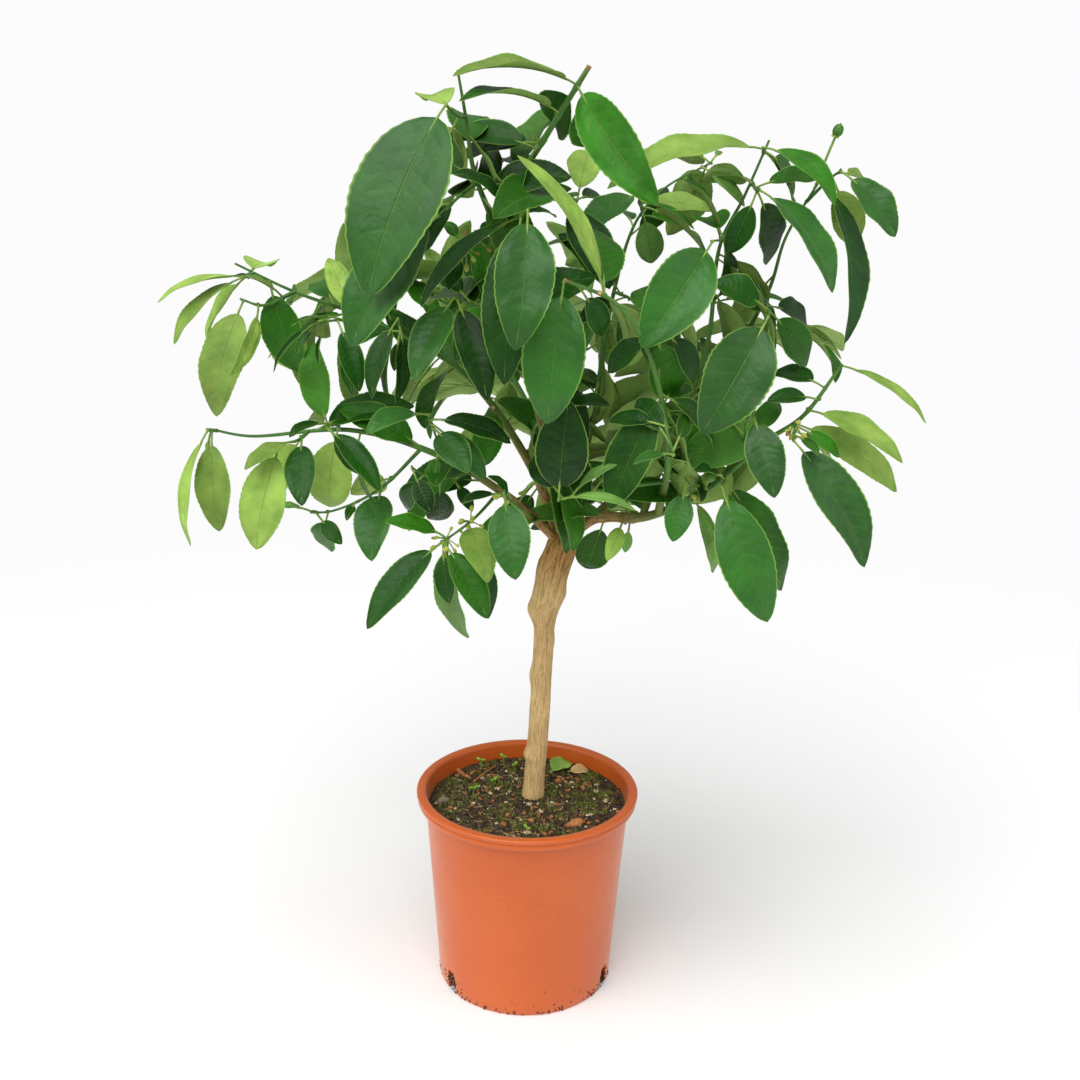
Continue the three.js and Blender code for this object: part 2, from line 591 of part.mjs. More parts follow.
    leaves: [
      leaf(1, [95, -110, 115], 0.58, 5, 20, 'gloss'),
      leaf(0.64, [105, -50, 215], 0.75, 10, 40, 'dark'),
      leaf(0.56, [180, -10, 140], 0.5, 10, 20, 'mid'),
      leaf(0.4, [195, 30, 175], 0.5, 10, 40, 'dark'),
    ] },
  { name: 'shoot_right_fan', on: 'limb_right', at: 0.80,
    path: [[170, -60, 110], [165, -80, 105]],
    leaves: [
      leaf(0.98, [220, -110, 20], 0.4, 20, 20, 'gloss'),
      leaf(0.3, [205, -60, 90], 0.5, 20, 40, 'mid'),
      leaf(0.6, [230, -20, 65], 0.34, 20, 60, 'pale'),
      leaf(0, [245, -30, 35], 0.3, 40, 20, 'young'),
      leaf(0.8, [180, -100, 100], 0.42, 0, 50, 'mid'),
    ] },
  { name: 'shoot_right_bluish', on: 'limb_right', at: 0.64,
    path: [[130, -80, 115], [130, -100, 130]],
    leaves: [
      leaf(1, [145, -130, 75], 0.52, -5, 20, 'gloss'),
      leaf(0.42, [105, -40, 125], 0.5, 0, 40, 'dark'),
      leaf(0.7, [120, -60, 135], 0.42, 0, 40, 'dark'),
      leaf(0.28, [165, -20, 125], 0.42, 0, 40, 'mid'),
    ] },
  { name: 'shoot_right_drop', on: 'limb_right', at: 0.54,
    path: [[120, -60, 70], [115, -80, 70]],
    leaves: [
      leaf(1, [150, -110, -25], 0.42, -10, 15, 'gloss'),
      leaf(0.62, [95, -90, 85], 0.5, 0, 60, 'dark'),
      leaf(0.1, [180, -20, -30], 0.34, 30, 10, 'mid'),
      leaf(0.42, [130, -40, 0], 0.36, 20, 20, 'mid'),
    ] },
  { name: 'shoot_right_low', on: 'limb_right', at: 0.43,
    path: [[95, -60, 65], [90, -70, 70]],
    leaves: [
      leaf(1, [80, -90, 30], 0.6, -5, 15, 'gloss'),
      leaf(0.3, [125, -10, -20], 0.2, 20, 20, 'pale'),
      leaf(0.6, [75, -30, 85], 0.5, 0, 40, 'dark'),
    ] },
  { name: 'shoot_back_fine', on: 'limb_back', at: 0.83,
    path: [[55, 40, 270], [55, 20, 275]],
    leaves: [
      leaf(1, [5, -20, 245], 0.42, -20, 35, 'gloss'),
      leaf(0.22, [110, 20, 265], 0.4, 0, 40, 'young'),
      leaf(0.38, [95, 10, 250], 0.16, 0, 70, 'mid'),
      leaf(0, [70, 70, 220], 0.6, 0, 10, 'pale'),
    ] },
  { name: 'shoot_back_low', on: 'limb_back', at: 0.64,
    path: [[50, 40, 195], [55, 10, 190]],
    leaves: [
      leaf(0.16, [-5, 40, 245], 0.5, 0, 40, 'dark'),
      leaf(0.86, [40, -10, 165], 0.5, 0, 20, 'dark'),
      leaf(0.54, [100, 50, 170], 0.5, 0, 40, 'dark'),
      leaf(0.4, [10, 60, 175], 0.5, 0, 30, 'dark'),
    ] },
];

// Shoots on the far side carry their leaves in a spiral, a fixed turn apart, hanging outwards.
const spiralTurn = 137.5;
const farShoot = (name, on, at, count, reach, path) => ({ name, on, at, count, reach, path });
const farShoots = [
  farShoot('shoot_far_left', 'limb_back_left', 0.95, 7, 85, [[-150, 125, 205], [-175, 135, 200]]),
  farShoot('shoot_far_left_low', 'limb_back_left', 0.6, 7, 80, [[-75, 160, 120], [-95, 185, 100]]),
  farShoot('shoot_far_top', 'limb_back_left', 0.8, 7, 80, [[-60, 120, 205], [-40, 125, 240]]),
  farShoot('shoot_far_middle', 'limb_back', 0.45, 8, 85, [[30, 125, 170], [25, 165, 180]]),
  farShoot('shoot_far_right', 'limb_back_right', 0.95, 7, 80, [[185, 145, 165], [210, 140, 160]]),
  farShoot('shoot_far_right_low', 'limb_back_right', 0.6, 7, 80, [[110, 170, 90], [120, 195, 80]]),
];

// Young fruit on stalks of their own.
const fruit = (name, on, at, path) => ({ name, on, at, path, fruit: true });
const fruits = [
  fruit('fruit_high', 'limb_right_back', 0.97, [[192, 6, 305], [197, 4, 320]]),
  fruit('fruit_low', 'limb_right', 0.47, [[107, -45, 60], [108, -64, 72]]),
];

const place = ([x, y, z]) => new THREE.Vector3(x, y, z).multiplyScalar(crownUnit).add(fork);

// ---------------------------------------------------------------- growing the branches

const curves = { trunk: trunkCurve };
const stems = {};

function fruitGeometry(row, extra) {
  const shoot = curves[row.name];
  const heading = shoot.getTangentAt(1);
  const ball = new THREE.SphereGeometry(fruitRadius + extra, 10, 8).scale(1, 1.25, 1);
  const turn = new THREE.Quaternion().setFromUnitVectors(new THREE.Vector3(0, 1, 0), heading);
  const centre = shoot.getPointAt(1).addScaledVector(heading, fruitRadius);
  return ball.applyQuaternion(turn).translate(centre.x, centre.y, centre.z);
}

// A stem narrows evenly from its root to its tip, and a fruit's stalk ends in the fruit.
function branchSolid(row, extra) {
  const radiusAt = (t) => THREE.MathUtils.lerp(row.radius, row.tip, t) + extra;
  const isLimb = row.radius > 2;
  const stepLength = (isLimb ? limbStep : shootStep) * crownUnit;
  const steps = Math.max(2, Math.round(curves[row.name].getLength() / stepLength));
  const stem = toSolid(stemGeometry(curves[row.name], radiusAt, steps, isLimb ? 7 : 5));
  return row.fruit ? stem.add(toSolid(fruitGeometry(row, extra))) : stem;
}

function growCurve(row) {
  const start = curves[row.on].getPointAt(row.at);
  curves[row.name] = new THREE.CatmullRomCurve3([start, ...row.path.map(place)], false, 'centripetal');
}

const radiusOf = (name, at) => {
  if (name === 'trunk') return forkRadius;
  const row = rows.find((other) => other.name === name);
  return THREE.MathUtils.lerp(row.radius, row.tip, at);
};

// A share of a branch's length, measured from its parent's bark to its tip.
function pointOn(row, share) {
  const curve = curves[row.name];
  const bark = (radiusOf(row.on, row.at) + stalkSpace) / curve.getLength();
  return curve.getPointAt(THREE.MathUtils.lerp(bark, 1, share));
}

function spiralLeaves(row) {
  const { path, count, reach } = row;
  return Array.from({ length: count }, (_, i) => {
    const along = (i + 1) / count;
    const angle = THREE.MathUtils.degToRad(spiralTurn * i + 40 * path.length);
    const root = pointOn(row, along).sub(fork).divideScalar(crownUnit);
    const outwards = new THREE.Vector3(root.x, root.y, 0).normalize();
    const heading = new THREE.Vector3(Math.sin(angle), Math.cos(angle), -0.45)
      .addScaledVector(outwards, 0.5).normalize();
    const tip = root.addScaledVector(heading, reach * (0.85 + 0.3 * ((i * 2) % 3) / 2));
    const turn = THREE.MathUtils.radToDeg(Math.atan2(outwards.x, -outwards.y));
    return leaf(along, tip.toArray(), 0.46, turn, 60, 'mid');
  });
}

const limbScale = limbThickness * crownUnit;
const limbRow = (row) => ({
  leaves: [], ...row, radius: row.radius * limbScale, tip: row.tip * limbScale,
});
const shootRow = (row) => ({ ...row, radius: shootRadius, tip: shootTipRadius });
const stalkRow = (row) => ({ ...row, leaves: [], radius: petioleRadius, tip: petioleRadius });
const rows = [
  ...[...branches, ...farShoots].map((row) => (row.radius ? limbRow(row) : shootRow(row))),
  ...fruits.map(stalkRow),
];
for (const row of rows) {
  growCurve(row);
  row.leaves ??= spiralLeaves(row);
  stems[row.name] = branchSolid(row, 0);
}
stems.trunk = trunkSolid(0);

// ---------------------------------------------------------------- finding room for the leaves
//
// A leaf hangs as its row says unless something is in the way. Then it swings about its stalk, a
// little at first and further if it must, until it hangs clear.

const touches = (a, b) => a.box.intersectsBox(b.box) && a.solid.intersect(b.solid).volume() > 0;
const boxed = (owner, solid) => ({ owner, solid, box: boxOf(solid) });

const settled = Object.entries(stems).map(([name, solid]) => boxed(name, solid));

// A leaf is joined to its own stem, and its stalk may touch the other leaves there.
function isClear(branch, blade, whole) {
  const inTheWay = (other) => {
    if (other.owner !== branch) return touches(whole, other);
    return other.solid !== stems[branch] && touches(blade, other);
  };
  return !settled.some(inTheWay);
}

const swings = [[0, 0]];
for (let reach = 4; reach <= 60; reach += 4) {
  for (let k = 0; k < 8; k += 1) {
    swings.push([reach * Math.cos(Math.PI / 4 * k), reach * Math.sin(Math.PI / 4 * k)]);
  }
}

function swungTip(base, tip, [lift, sway]) {
  const span = tip.clone().sub(base);
  const level = new THREE.Vector3(span.y, -span.x, 0);
  if (level.lengthSq() < 1) level.set(1, 0, 0);
  span.applyAxisAngle(level.normalize(), THREE.MathUtils.degToRad(lift));
  span.applyAxisAngle(new THREE.Vector3(0, 0, 1), THREE.MathUtils.degToRad(sway));
  return base.clone().add(span);
}

function settleLeaf(row, spec) {
  const base = pointOn(row, spec.along);
  const wanted = place(spec.tip);
  for (const swing of swings) {
    const tip = swungTip(base, wanted, swing);
    const whole = boxed(row.name, toSolid(leafGeometry(base, tip, spec, gap)));
    const blade = boxed(row.name, toSolid(leafGeometry(base, tip, spec, gap, true)));
    if (isClear(row.name, blade, whole)) {
      const solid = toSolid(leafGeometry(base, tip, spec));
      settled.push(boxed(row.name, solid));
      return solid;
    }
  }
  throw new Error(`no room for a leaf of ${row.name}`);
}

function makeBranch(row) {
  const leaves = row.leaves.map((spec) => settleLeaf(row, spec));
  return leaves.reduce((body, solid) => body.add(solid), stems[row.name]);
}

// Each branch is cut to fit against the one it grows from, and against limbs that crowd its root.
function fitted(row, body) {
  const grownFrom = rows.find((other) => other.name === row.on);
  const parent = grownFrom ? branchSolid(grownFrom, gap) : trunkSolid(gap);
  const crowd = rows.filter((other) => other.on === row.on && row.on === 'trunk');
  const earlier = crowd.slice(0, crowd.indexOf(row)).map((other) => branchSolid(other, gap));
  return earlier.reduce((solid, other) => solid.subtract(other), body.subtract(parent));
}

// ---------------------------------------------------------------- litter on the soil

const onSoil = (x, y, lift) => new THREE.Vector3(x, y, soilTopAt(Math.hypot(x, y)) + lift);

const lyingLeaf = (from, to, spec) => toSolid(leafGeometry(onSoil(...from), onSoil(...to), spec));

function barkChip() {
  const outline = new THREE.Shape(scrapOutline.map(([x, y]) => new THREE.Vector2(x, y)));
  const centre = onSoil(40, -45, 1);
  return toSolid(new THREE.ExtrudeGeometry(outline, { depth: scrapThickness, bevelEnabled: false })
    .translate(centre.x, centre.y, centre.z));
}

function pebble() {
  const centre = onSoil(-72, -6, 0.7 * pebbleRadius);
  return toSolid(new THREE.IcosahedronGeometry(pebbleRadius, 1).scale(1, 0.85, 0.6)
    .translate(centre.x, centre.y, centre.z));
}

function dryTwig() {
  const curve = new THREE.CatmullRomCurve3([onSoil(-48, 26, 2), onSoil(-38, 44, 3), onSoil(-30, 60, 2)]);
  return toSolid(stemGeometry(curve, () => dryTwigRadius, 3, 5));
}

// ---------------------------------------------------------------- the object

const tree = new THREE.Group();
tree.name = 'potted_lime_tree';

function addPiece(name, solid, material) {
  const mesh = new THREE.Mesh(toGeometry(solid), material);
  mesh.name = name;
  tree.add(mesh);
}

addPiece('pot', makePot(), finishes.terracotta);
addPiece('potting_soil', toSolid(soilGeometry()).subtract(trunkSolid(gap)), finishes.soil);
addPiece('trunk', trunkSolid(0), finishes.bark);

const youngShare = (row) => row.leaves.filter((spec) => spec.tone === 'young').length / row.leaves.length;
for (const row of rows) {
  const stemFinish = row.radius > 3.5 ? finishes.bark : finishes.greenBark;
  const bareFinish = row.fruit ? finishes.fruit : stemFinish;
  const leafFinish = youngShare(row) > 0.5 ? finishes.youngLeaf : finishes.matureLeaf;
  const body = fitted(row, makeBranch(row));
  addPiece(row.name, body, row.leaves.length ? leafFinish : bareFinish);
}

addPiece('fallen_leaf', lyingLeaf([20, 44, 2], [38, 74, 3], { ratio: 0.6, turn: 0, tilt: 70 }),
  finishes.youngLeaf);
addPiece('dry_leaf', lyingLeaf([36, 50, 2], [55, 55, 3], { ratio: 0.7, turn: 20, tilt: 75 }),
  finishes.dryLeaf);
addPiece('dry_twig', dryTwig(), finishes.dryLeaf);
addPiece('bark_chip', barkChip(), finishes.bark);
addPiece('pebble', pebble(), finishes.stone);

export default tree;
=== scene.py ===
"""Builds a young lime tree in a round nursery pot: pot, compost, trunk, leafy crown and a plain stage."""
import json
import math
from collections import namedtuple

import bpy
import numpy as np
from bpy.props import FloatProperty, FloatVectorProperty, IntProperty, PointerProperty
from mathutils import Matrix, Vector, noise

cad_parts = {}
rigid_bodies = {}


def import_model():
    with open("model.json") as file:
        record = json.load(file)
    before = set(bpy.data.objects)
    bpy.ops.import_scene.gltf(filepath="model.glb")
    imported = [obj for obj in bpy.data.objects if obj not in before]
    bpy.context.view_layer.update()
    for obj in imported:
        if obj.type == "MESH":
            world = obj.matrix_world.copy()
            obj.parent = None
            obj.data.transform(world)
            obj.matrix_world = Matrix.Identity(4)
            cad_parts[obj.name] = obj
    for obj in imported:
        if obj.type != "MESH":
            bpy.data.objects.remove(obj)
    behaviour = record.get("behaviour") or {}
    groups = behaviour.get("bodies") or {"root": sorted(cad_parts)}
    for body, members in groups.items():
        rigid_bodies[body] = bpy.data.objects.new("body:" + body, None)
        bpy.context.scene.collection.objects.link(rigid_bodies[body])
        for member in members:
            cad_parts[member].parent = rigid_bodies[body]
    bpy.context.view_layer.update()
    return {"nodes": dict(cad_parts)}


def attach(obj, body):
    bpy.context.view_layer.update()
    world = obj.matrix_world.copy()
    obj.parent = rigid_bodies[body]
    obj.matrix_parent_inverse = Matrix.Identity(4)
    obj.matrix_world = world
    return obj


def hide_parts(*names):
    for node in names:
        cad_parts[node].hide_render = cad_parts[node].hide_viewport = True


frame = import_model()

bl_info = {
    "name": "Potted lime tree",
    "version": (1, 0, 0),
    "blender": (4, 5, 0),
    "location": "3D View > Sidebar > Lime tree",
    "description": "Builds a young lime tree in a nursery pot, with its compost, leaves and fruit",
    "category": "Add Mesh",
}

BODY = "root"

MM = 0.001
YOUNG, PALE, MID, GLOSS_AND_PAINTED_SHEEN, DARK = 0.0, 0.2, 0.6, 0.8, 1.0     # leaf tones, from new growth to old; the glossy tone also paints a sheen into the colour
UNDER = 1.0                              # marks the lower side of a blade


# ---------------------------------------------------------------- sizes and colours that may change


def srgb(red, green, blue, alpha=1.0):
    """A colour given as it looks on a screen, as the linear colour that shaders work in."""
    def linear(value):
        share = value / 255
        return share / 12.92 if share <= 0.04045 else ((share + 0.055) / 1.055) ** 2.4
    return (linear(red), linear(green), linear(blue), alpha)


def length_setting(name, description, default):
    """A length in metres."""
    return FloatProperty(name=name, description=description, default=default, min=0.0, unit="LENGTH",
                         subtype="DISTANCE", precision=4)


def colour_setting(name, description, default):
    """A colour with its alpha."""
    return FloatVectorProperty(name=name, description=description, default=default, size=4, min=0.0,
                               max=1.0, subtype="COLOR")


class LimePotSettings(bpy.types.PropertyGroup):
    """Sizes and colours of the nursery pot and what fills it."""
    height: length_setting("Height", "From the base to the top of the rim", 0.175)
    rim_radius: length_setting("Rim radius", "Outside of the rolled rim", 0.095)
    base_radius: length_setting("Base radius", "Outside of the wall at the base", 0.0753)
    shoulder_radius: length_setting("Shoulder radius", "Outside of the wall under the rim", 0.0872)
    wall: length_setting("Wall", "Thickness of the wall", 0.0022)
    lip_depth: length_setting("Lip depth", "Height of the rolled lip", 0.010)
    lip_width: length_setting("Lip width", "Top of the lip, from outside to inside", 0.0085)
    slot_width: length_setting("Slot width", "Width of a drainage slot at the base", 0.013)
    slot_height: length_setting("Slot height", "Height of a drainage slot", 0.020)
    soil_drop: length_setting("Soil drop", "Compost surface below the rim", 0.014)
    soil_mound: length_setting("Soil mound", "Rise of the compost towards the trunk", 0.006)
    plastic: colour_setting("Plastic", "Colour of the pot", srgb(208, 98, 34))
    crumbs: IntProperty(name="Crumbs", description="Crumbs of compost on the surface", default=1500,
                        min=0)


class LimeTreeSettings(bpy.types.PropertyGroup):
    """Sizes and colours of the trunk, the stems and the leaves."""
    trunk_radius: length_setting("Trunk radius", "Radius of the trunk at the compost", 0.009)
    trunk_top: length_setting("Trunk top", "Radius of the trunk under the fork", 0.008)
    fork_radius: length_setting("Fork radius", "Radius of the swollen head of the trunk", 0.0125)
    stalk: length_setting("Leaf stalk", "Length of a leaf's stalk", 0.011)
    leaf_width: FloatProperty(name="Leaf width", description="Multiplies the width of every leaf",
                              default=1.0, min=0.2, subtype="FACTOR")
    leaf_bow: FloatProperty(name="Leaf bow", description="Arch of a leaf as a share of its length",
                            default=0.1, subtype="FACTOR")
    leaf_fold: FloatProperty(name="Leaf fold", description="Rise of a leaf's edges per half width",
                             default=0.22, subtype="FACTOR")
    old_leaf: colour_setting("Old leaf", "Colour of a full grown leaf", srgb(20, 70, 8))
    grown_leaf: colour_setting("Grown leaf", "Colour of a leaf of this season", srgb(44, 110, 12))
    # Partly the real pale colour of new growth, partly painted light: set lighter to stand for light shining
    # through young blades.
    new_leaf: colour_setting("New leaf", "Colour of new growth", srgb(154, 188, 84))
    # Partly the real paler underside, partly painted light: set lighter to stand for light shining through
    # the blade.
    underside: colour_setting("Underside", "Colour of the matt side of a leaf", srgb(164, 196, 100))
    bark: colour_setting("Bark", "Colour of the trunk", srgb(230, 198, 140))


class LimeStageSettings(bpy.types.PropertyGroup):
    """The floor, the light and the camera."""
    floor: colour_setting("Floor", "Colour of the floor", (0.95, 0.95, 0.95, 1.0))
    overhead: FloatProperty(name="Overhead light", description="Strength of the wide light from above",
                            default=2.55, min=0.0)
    fill_power: FloatProperty(name="Fill light", description="Power of the side lights", default=3.0,
                              min=0.0, subtype="POWER", unit="POWER")
    sky: FloatProperty(name="Surround", description="Strength of the light from all round",
                       default=0.38, min=0.0)
    backdrop: FloatProperty(name="Backdrop", description="Brightness of the backdrop", default=0.97,
                            min=0.0)
    lens: FloatProperty(name="Lens", description="Focal length of the camera, in millimetres",
                        default=41.23, min=1.0)
    pitch: FloatProperty(name="Pitch", description="How far the camera looks down",
                         default=math.radians(15.9), subtype="ANGLE", unit="ROTATION")
    roll: FloatProperty(name="Roll", description="How far the camera leans to the right",
                        default=math.radians(1.06), subtype="ANGLE", unit="ROTATION")


# ---------------------------------------------------------------- shapes


class Shape:
    """Points and faces gathered for one piece. Every point carries two named triples of values.
    Place is how far along and across a blade it is and whether it is underneath, or how far along a
    stem it is and the cosine and sine of its angle round it. Looks is tone or wood, a glossy flag that
    also paints a sheen into a leaf's colour, and a seed."""

    def __init__(self):
        self.points = []
        self.faces = []
        self.finishes = []
        self.place = []
        self.looks = []
        self.count = 0

    def add(self, points, faces, finish=0, place=None, looks=(0.0, 0.0, 0.0)):
        """Add some points and the faces that join them."""
        points = np.asarray(points, float).reshape(-1, 3)
        number = len(points)
        self.points.append(points)
        self.faces.extend(tuple(corner + self.count for corner in face) for face in faces)
        self.finishes.extend([finish] * len(faces))
        self.place.append(np.zeros((number, 3)) if place is None else np.asarray(place, float))
        self.looks.append(np.broadcast_to(np.asarray(looks, float), (number, 3)))
        self.count += number

    def piece(self, name, materials, smooth_angle=60):
        """The shape as an object in the scene, smooth except at sharp edges."""
        mesh = bpy.data.meshes.new(name)
        mesh.from_pydata(np.concatenate(self.points).tolist(), [], self.faces)
        for label, values in (("place", self.place), ("looks", self.looks)):
            attribute = mesh.attributes.new(label, "FLOAT_VECTOR", "POINT")
            attribute.data.foreach_set("vector", np.concatenate(values).ravel())
        for material in materials:
            mesh.materials.append(material)
        mesh.polygons.foreach_set("material_index", self.finishes)
        mesh.shade_smooth()
        mesh.set_sharp_from_angle(angle=math.radians(smooth_angle))
        mesh.update()
        made = bpy.data.objects.new(name, mesh)
        bpy.context.scene.collection.objects.link(made)
        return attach(made, BODY)


def grid_faces(rows, columns, wrap=False, flip=False):
    """Faces between rows of points, each row having the same number of points."""
    faces = []
    for row in range(rows - 1):
        for column in range(columns if wrap else columns - 1):
            here = row * columns + column
            beside = row * columns + (column + 1) % columns
            face = (here, beside, beside + columns, here + columns)
            faces.append(face[::-1] if flip else face)
    return faces


def unit(vector):
    """The direction of a vector."""
    return vector / np.linalg.norm(vector)


def turned(vector, axis, angle):
    """A vector turned about an axis."""
    axis = unit(axis)
    return (vector * math.cos(angle) + np.cross(axis, vector) * math.sin(angle)
            + axis * np.dot(axis, vector) * (1 - math.cos(angle)))


def smoothstep(value, low, high):
    """A share from 0 to 1 that eases in and out between two values."""
    share = np.clip((value - low) / (high - low), 0.0, 1.0)
    return share * share * (3 - 2 * share)


class Curve:
    """A smooth line through points, measured along its length."""

    def __init__(self, points, samples=60):
        points = [np.asarray(point, float) for point in points]
        before = 2 * points[0] - points[1]
        after = 2 * points[-1] - points[-2]
        padded = [before, *points, after]
        line = [points[0]]
        for first, second, third, fourth in zip(padded, padded[1:], padded[2:], padded[3:]):
            line.extend(self.segment(first, second, third, fourth, samples))
        self.line = np.array(line)
        steps = np.linalg.norm(np.diff(self.line, axis=0), axis=1)
        self.reached = np.concatenate([[0.0], np.cumsum(steps)])
        self.length = self.reached[-1]

    @staticmethod
    def segment(first, second, third, fourth, samples):
        """Points along the centripetal curve from the second point to the third."""
        gaps = [math.sqrt(np.linalg.norm(b - a)) for a, b in ((first, second), (second, third),
                                                              (third, fourth))]
        leave = ((second - first) / gaps[0] - (third - first) / (gaps[0] + gaps[1])
                 + (third - second) / gaps[1]) * gaps[1]
        arrive = ((third - second) / gaps[1] - (fourth - second) / (gaps[1] + gaps[2])
                  + (fourth - third) / gaps[2]) * gaps[1]
        square = -3 * second + 3 * third - 2 * leave - arrive
        cube = 2 * second - 2 * third + leave + arrive
        for step in range(1, samples + 1):
            t = step / samples
            yield second + leave * t + square * t * t + cube * t ** 3

    def at(self, share):
        """The point at a share of the length."""
        reach = np.clip(share, 0.0, 1.0) * self.length
        return np.array([np.interp(reach, self.reached, self.line[:, axis]) for axis in range(3)])

    def direction(self, share):
        """The direction of travel at a share of the length."""
        step = 0.01
        return unit(self.at(min(share + step, 1.0)) - self.at(max(share - step, 0.0)))


def rings_along(centres, radii, sides, ripple=None):
    """Rings of points round a line. The frames turn as little as they can from ring to ring, and
    ripple, where given, is the radius's multiplier for a ring's number and an angle."""
    centres = np.asarray(centres, float)
    tangents = np.gradient(centres, axis=0)
    tangents /= np.linalg.norm(tangents, axis=1)[:, None]
    start = np.array([0.0, -1.0, 0.0]) if abs(tangents[0][1]) < 0.9 else np.array([1.0, 0.0, 0.0])
    across = unit(start - tangents[0] * np.dot(start, tangents[0]))
    rings = []
    for number, (centre, tangent, radius) in enumerate(zip(centres, tangents, radii)):
        across = unit(across - tangent * np.dot(across, tangent))
        other = np.cross(tangent, across)
        for side in range(sides):
            angle = 2 * math.pi * side / sides
            reach = radius * (ripple(number, angle) if ripple else 1.0)
            rings.append(centre + (across * math.cos(angle) + other * math.sin(angle)) * reach)
    return np.array(rings)


def add_stem(shape, centres, radii, sides, finish=0, looks=(0.0, 0.0, 0.0), woody=None, ripple=None,
             pruned=False):
    """Add a closed round stem along a line of centres, with a rounded tip or a pruned flat end."""
    centres = np.asarray(centres, float)
    radii = np.asarray(radii, float)
    last = unit(centres[-1] - centres[-2])
    cap = [(0.04, 0.98), (0.1, 0.9)] if pruned else [(0.5, 0.85), (0.85, 0.5), (1.0, 0.16)]
    ends = np.array([centres[-1] + last * radii[-1] * rise for rise, _ in cap])
    centres = np.concatenate([centres, ends])
    radii = np.concatenate([radii, [radii[-1] * share for _, share in cap]])
    rings = rings_along(centres, radii, sides, ripple)
    count = len(centres)
    faces = grid_faces(count, sides, wrap=True)
    faces.append(tuple(reversed(range(sides))))
    faces.append(tuple((count - 1) * sides + side for side in range(sides)))
    steps = np.linalg.norm(np.diff(centres, axis=0), axis=1)
    reached = np.concatenate([[0.0], np.cumsum(steps)])
    angles = 2 * math.pi * np.arange(sides) / sides
    place = np.column_stack([np.repeat(reached, sides), np.tile(np.cos(angles), count),
                             np.tile(np.sin(angles), count)])
    values = np.tile(np.asarray(looks, float), (count * sides, 1))
    if woody is not None:
        shares = np.concatenate([woody, [woody[-1]] * len(cap)])
        values[:, 0] = np.repeat(shares, sides)
    shape.add(rings, faces, finish, place, values)


def add_blob(shape, centre, axis, half_length, half_width, finish=0, looks=(0.0, 0.0, 0.0), rough=0.0,
             detail=6):
    """Add a closed egg shape along an axis, made uneven by rough."""
    axis = unit(np.asarray(axis, float))
    helper = np.array([1.0, 0.0, 0.0]) if abs(axis[0]) < 0.8 else np.array([0.0, 1.0, 0.0])
    across = unit(np.cross(axis, helper))
    other = np.cross(axis, across)
    sides = detail + 2
    points = []
    for row in range(detail + 1):
        angle = math.pi * (row + 0.15) / (detail + 0.3)
        for side in range(sides):
            turn = 2 * math.pi * side / sides
            out = across * math.cos(turn) + other * math.sin(turn)
            point = axis * -math.cos(angle) * half_length + out * math.sin(angle) * half_width
            if rough:
                where = Vector((centre + point * 1.7) / half_length)
                point = point * (1 + rough * noise.noise(where))
            points.append(centre + point)
    faces = grid_faces(detail + 1, sides, wrap=True)
    faces.append(tuple(reversed(range(sides))))
    faces.append(tuple(detail * sides + side for side in range(sides)))
    shape.add(points, faces, finish, None, looks)


def add_lathe(shape, profile, sides, finish=0):
    """Add a closed turned form. The profile runs from the axis round to the axis again."""
    points = [(0.0, 0.0, profile[0][1])]
    for radius, height in profile[1:-1]:
        for side in range(sides):
            angle = 2 * math.pi * side / sides
            points.append((radius * math.cos(angle), radius * math.sin(angle), height))
    points.append((0.0, 0.0, profile[-1][1]))
    rows = len(profile) - 2
    faces = [tuple(corner + 1 for corner in face) for face in grid_faces(rows, sides, wrap=True)]
    last = len(points) - 1
    for side in range(sides):
        beside = (side + 1) % sides
        faces.append((0, 1 + beside, 1 + side))
        faces.append((last, last - sides + side, last - sides + beside))
    shape.add(points, faces, finish)


# ---------------------------------------------------------------- shader nodes

NUMBER = "NodeSocketFloat"
COLOUR = "NodeSocketColor"


def feed(tree, socket, value):
    """Join a socket to another one, or set its value."""
    if isinstance(value, bpy.types.NodeSocket):
        tree.links.new(value, socket)
    else:
        socket.default_value = value


def put(tree, kind, settings=None, **inputs):
    """Add a node with its settings and the values of its named inputs."""
    node = tree.nodes.new(kind)
    for name, value in (settings or {}).items():
        setattr(node, name, value)
    for name, value in inputs.items():
        feed(tree, node.inputs[name.replace("_", " ")], value)
    return node


def calc(tree, operation, *values):
    """The result of a Math node."""
    node = put(tree, "ShaderNodeMath", {"operation": operation})
    for socket, value in zip(node.inputs, values):
        feed(tree, socket, value)
    return node.outputs[0]


def fade(tree, value, low, high, start=0.0, end=1.0):
    """A value that eases from start to end while the input goes from low to high."""
    node = put(tree, "ShaderNodeMapRange", {"interpolation_type": "SMOOTHSTEP"}, Value=value,
               From_Min=low, From_Max=high, To_Min=start, To_Max=end)
    return node.outputs["Result"]


def mix(tree, share, first, second, way="MIX"):
    """Two colours mixed."""
    node = put(tree, "ShaderNodeMix", {"data_type": "RGBA", "blend_type": way})
    sockets = {socket.identifier: socket for socket in node.inputs}
    feed(tree, sockets["Factor_Float"], share)
    feed(tree, sockets["A_Color"], first)
    feed(tree, sockets["B_Color"], second)
    return next(socket for socket in node.outputs if socket.identifier == "Result_Color")


def ramp(tree, share, stops):
    """A colour looked up along a row of (place, colour) stops."""
    node = put(tree, "ShaderNodeValToRGB", Fac=share)
    elements = node.color_ramp.elements
    while len(elements) < len(stops):
        elements.new(0.5)
    for element, (place, colour) in zip(elements, stops):
        element.position = place
        element.color = colour
    return node.outputs["Color"]


def cloudy(tree, scale, detail=3.0):
    """A noise value over the surface, at a number of patches per metre."""
    place = put(tree, "ShaderNodeTexCoord").outputs["Object"]
    return put(tree, "ShaderNodeTexNoise", Vector=place, Scale=scale, Detail=detail).outputs["Fac"]


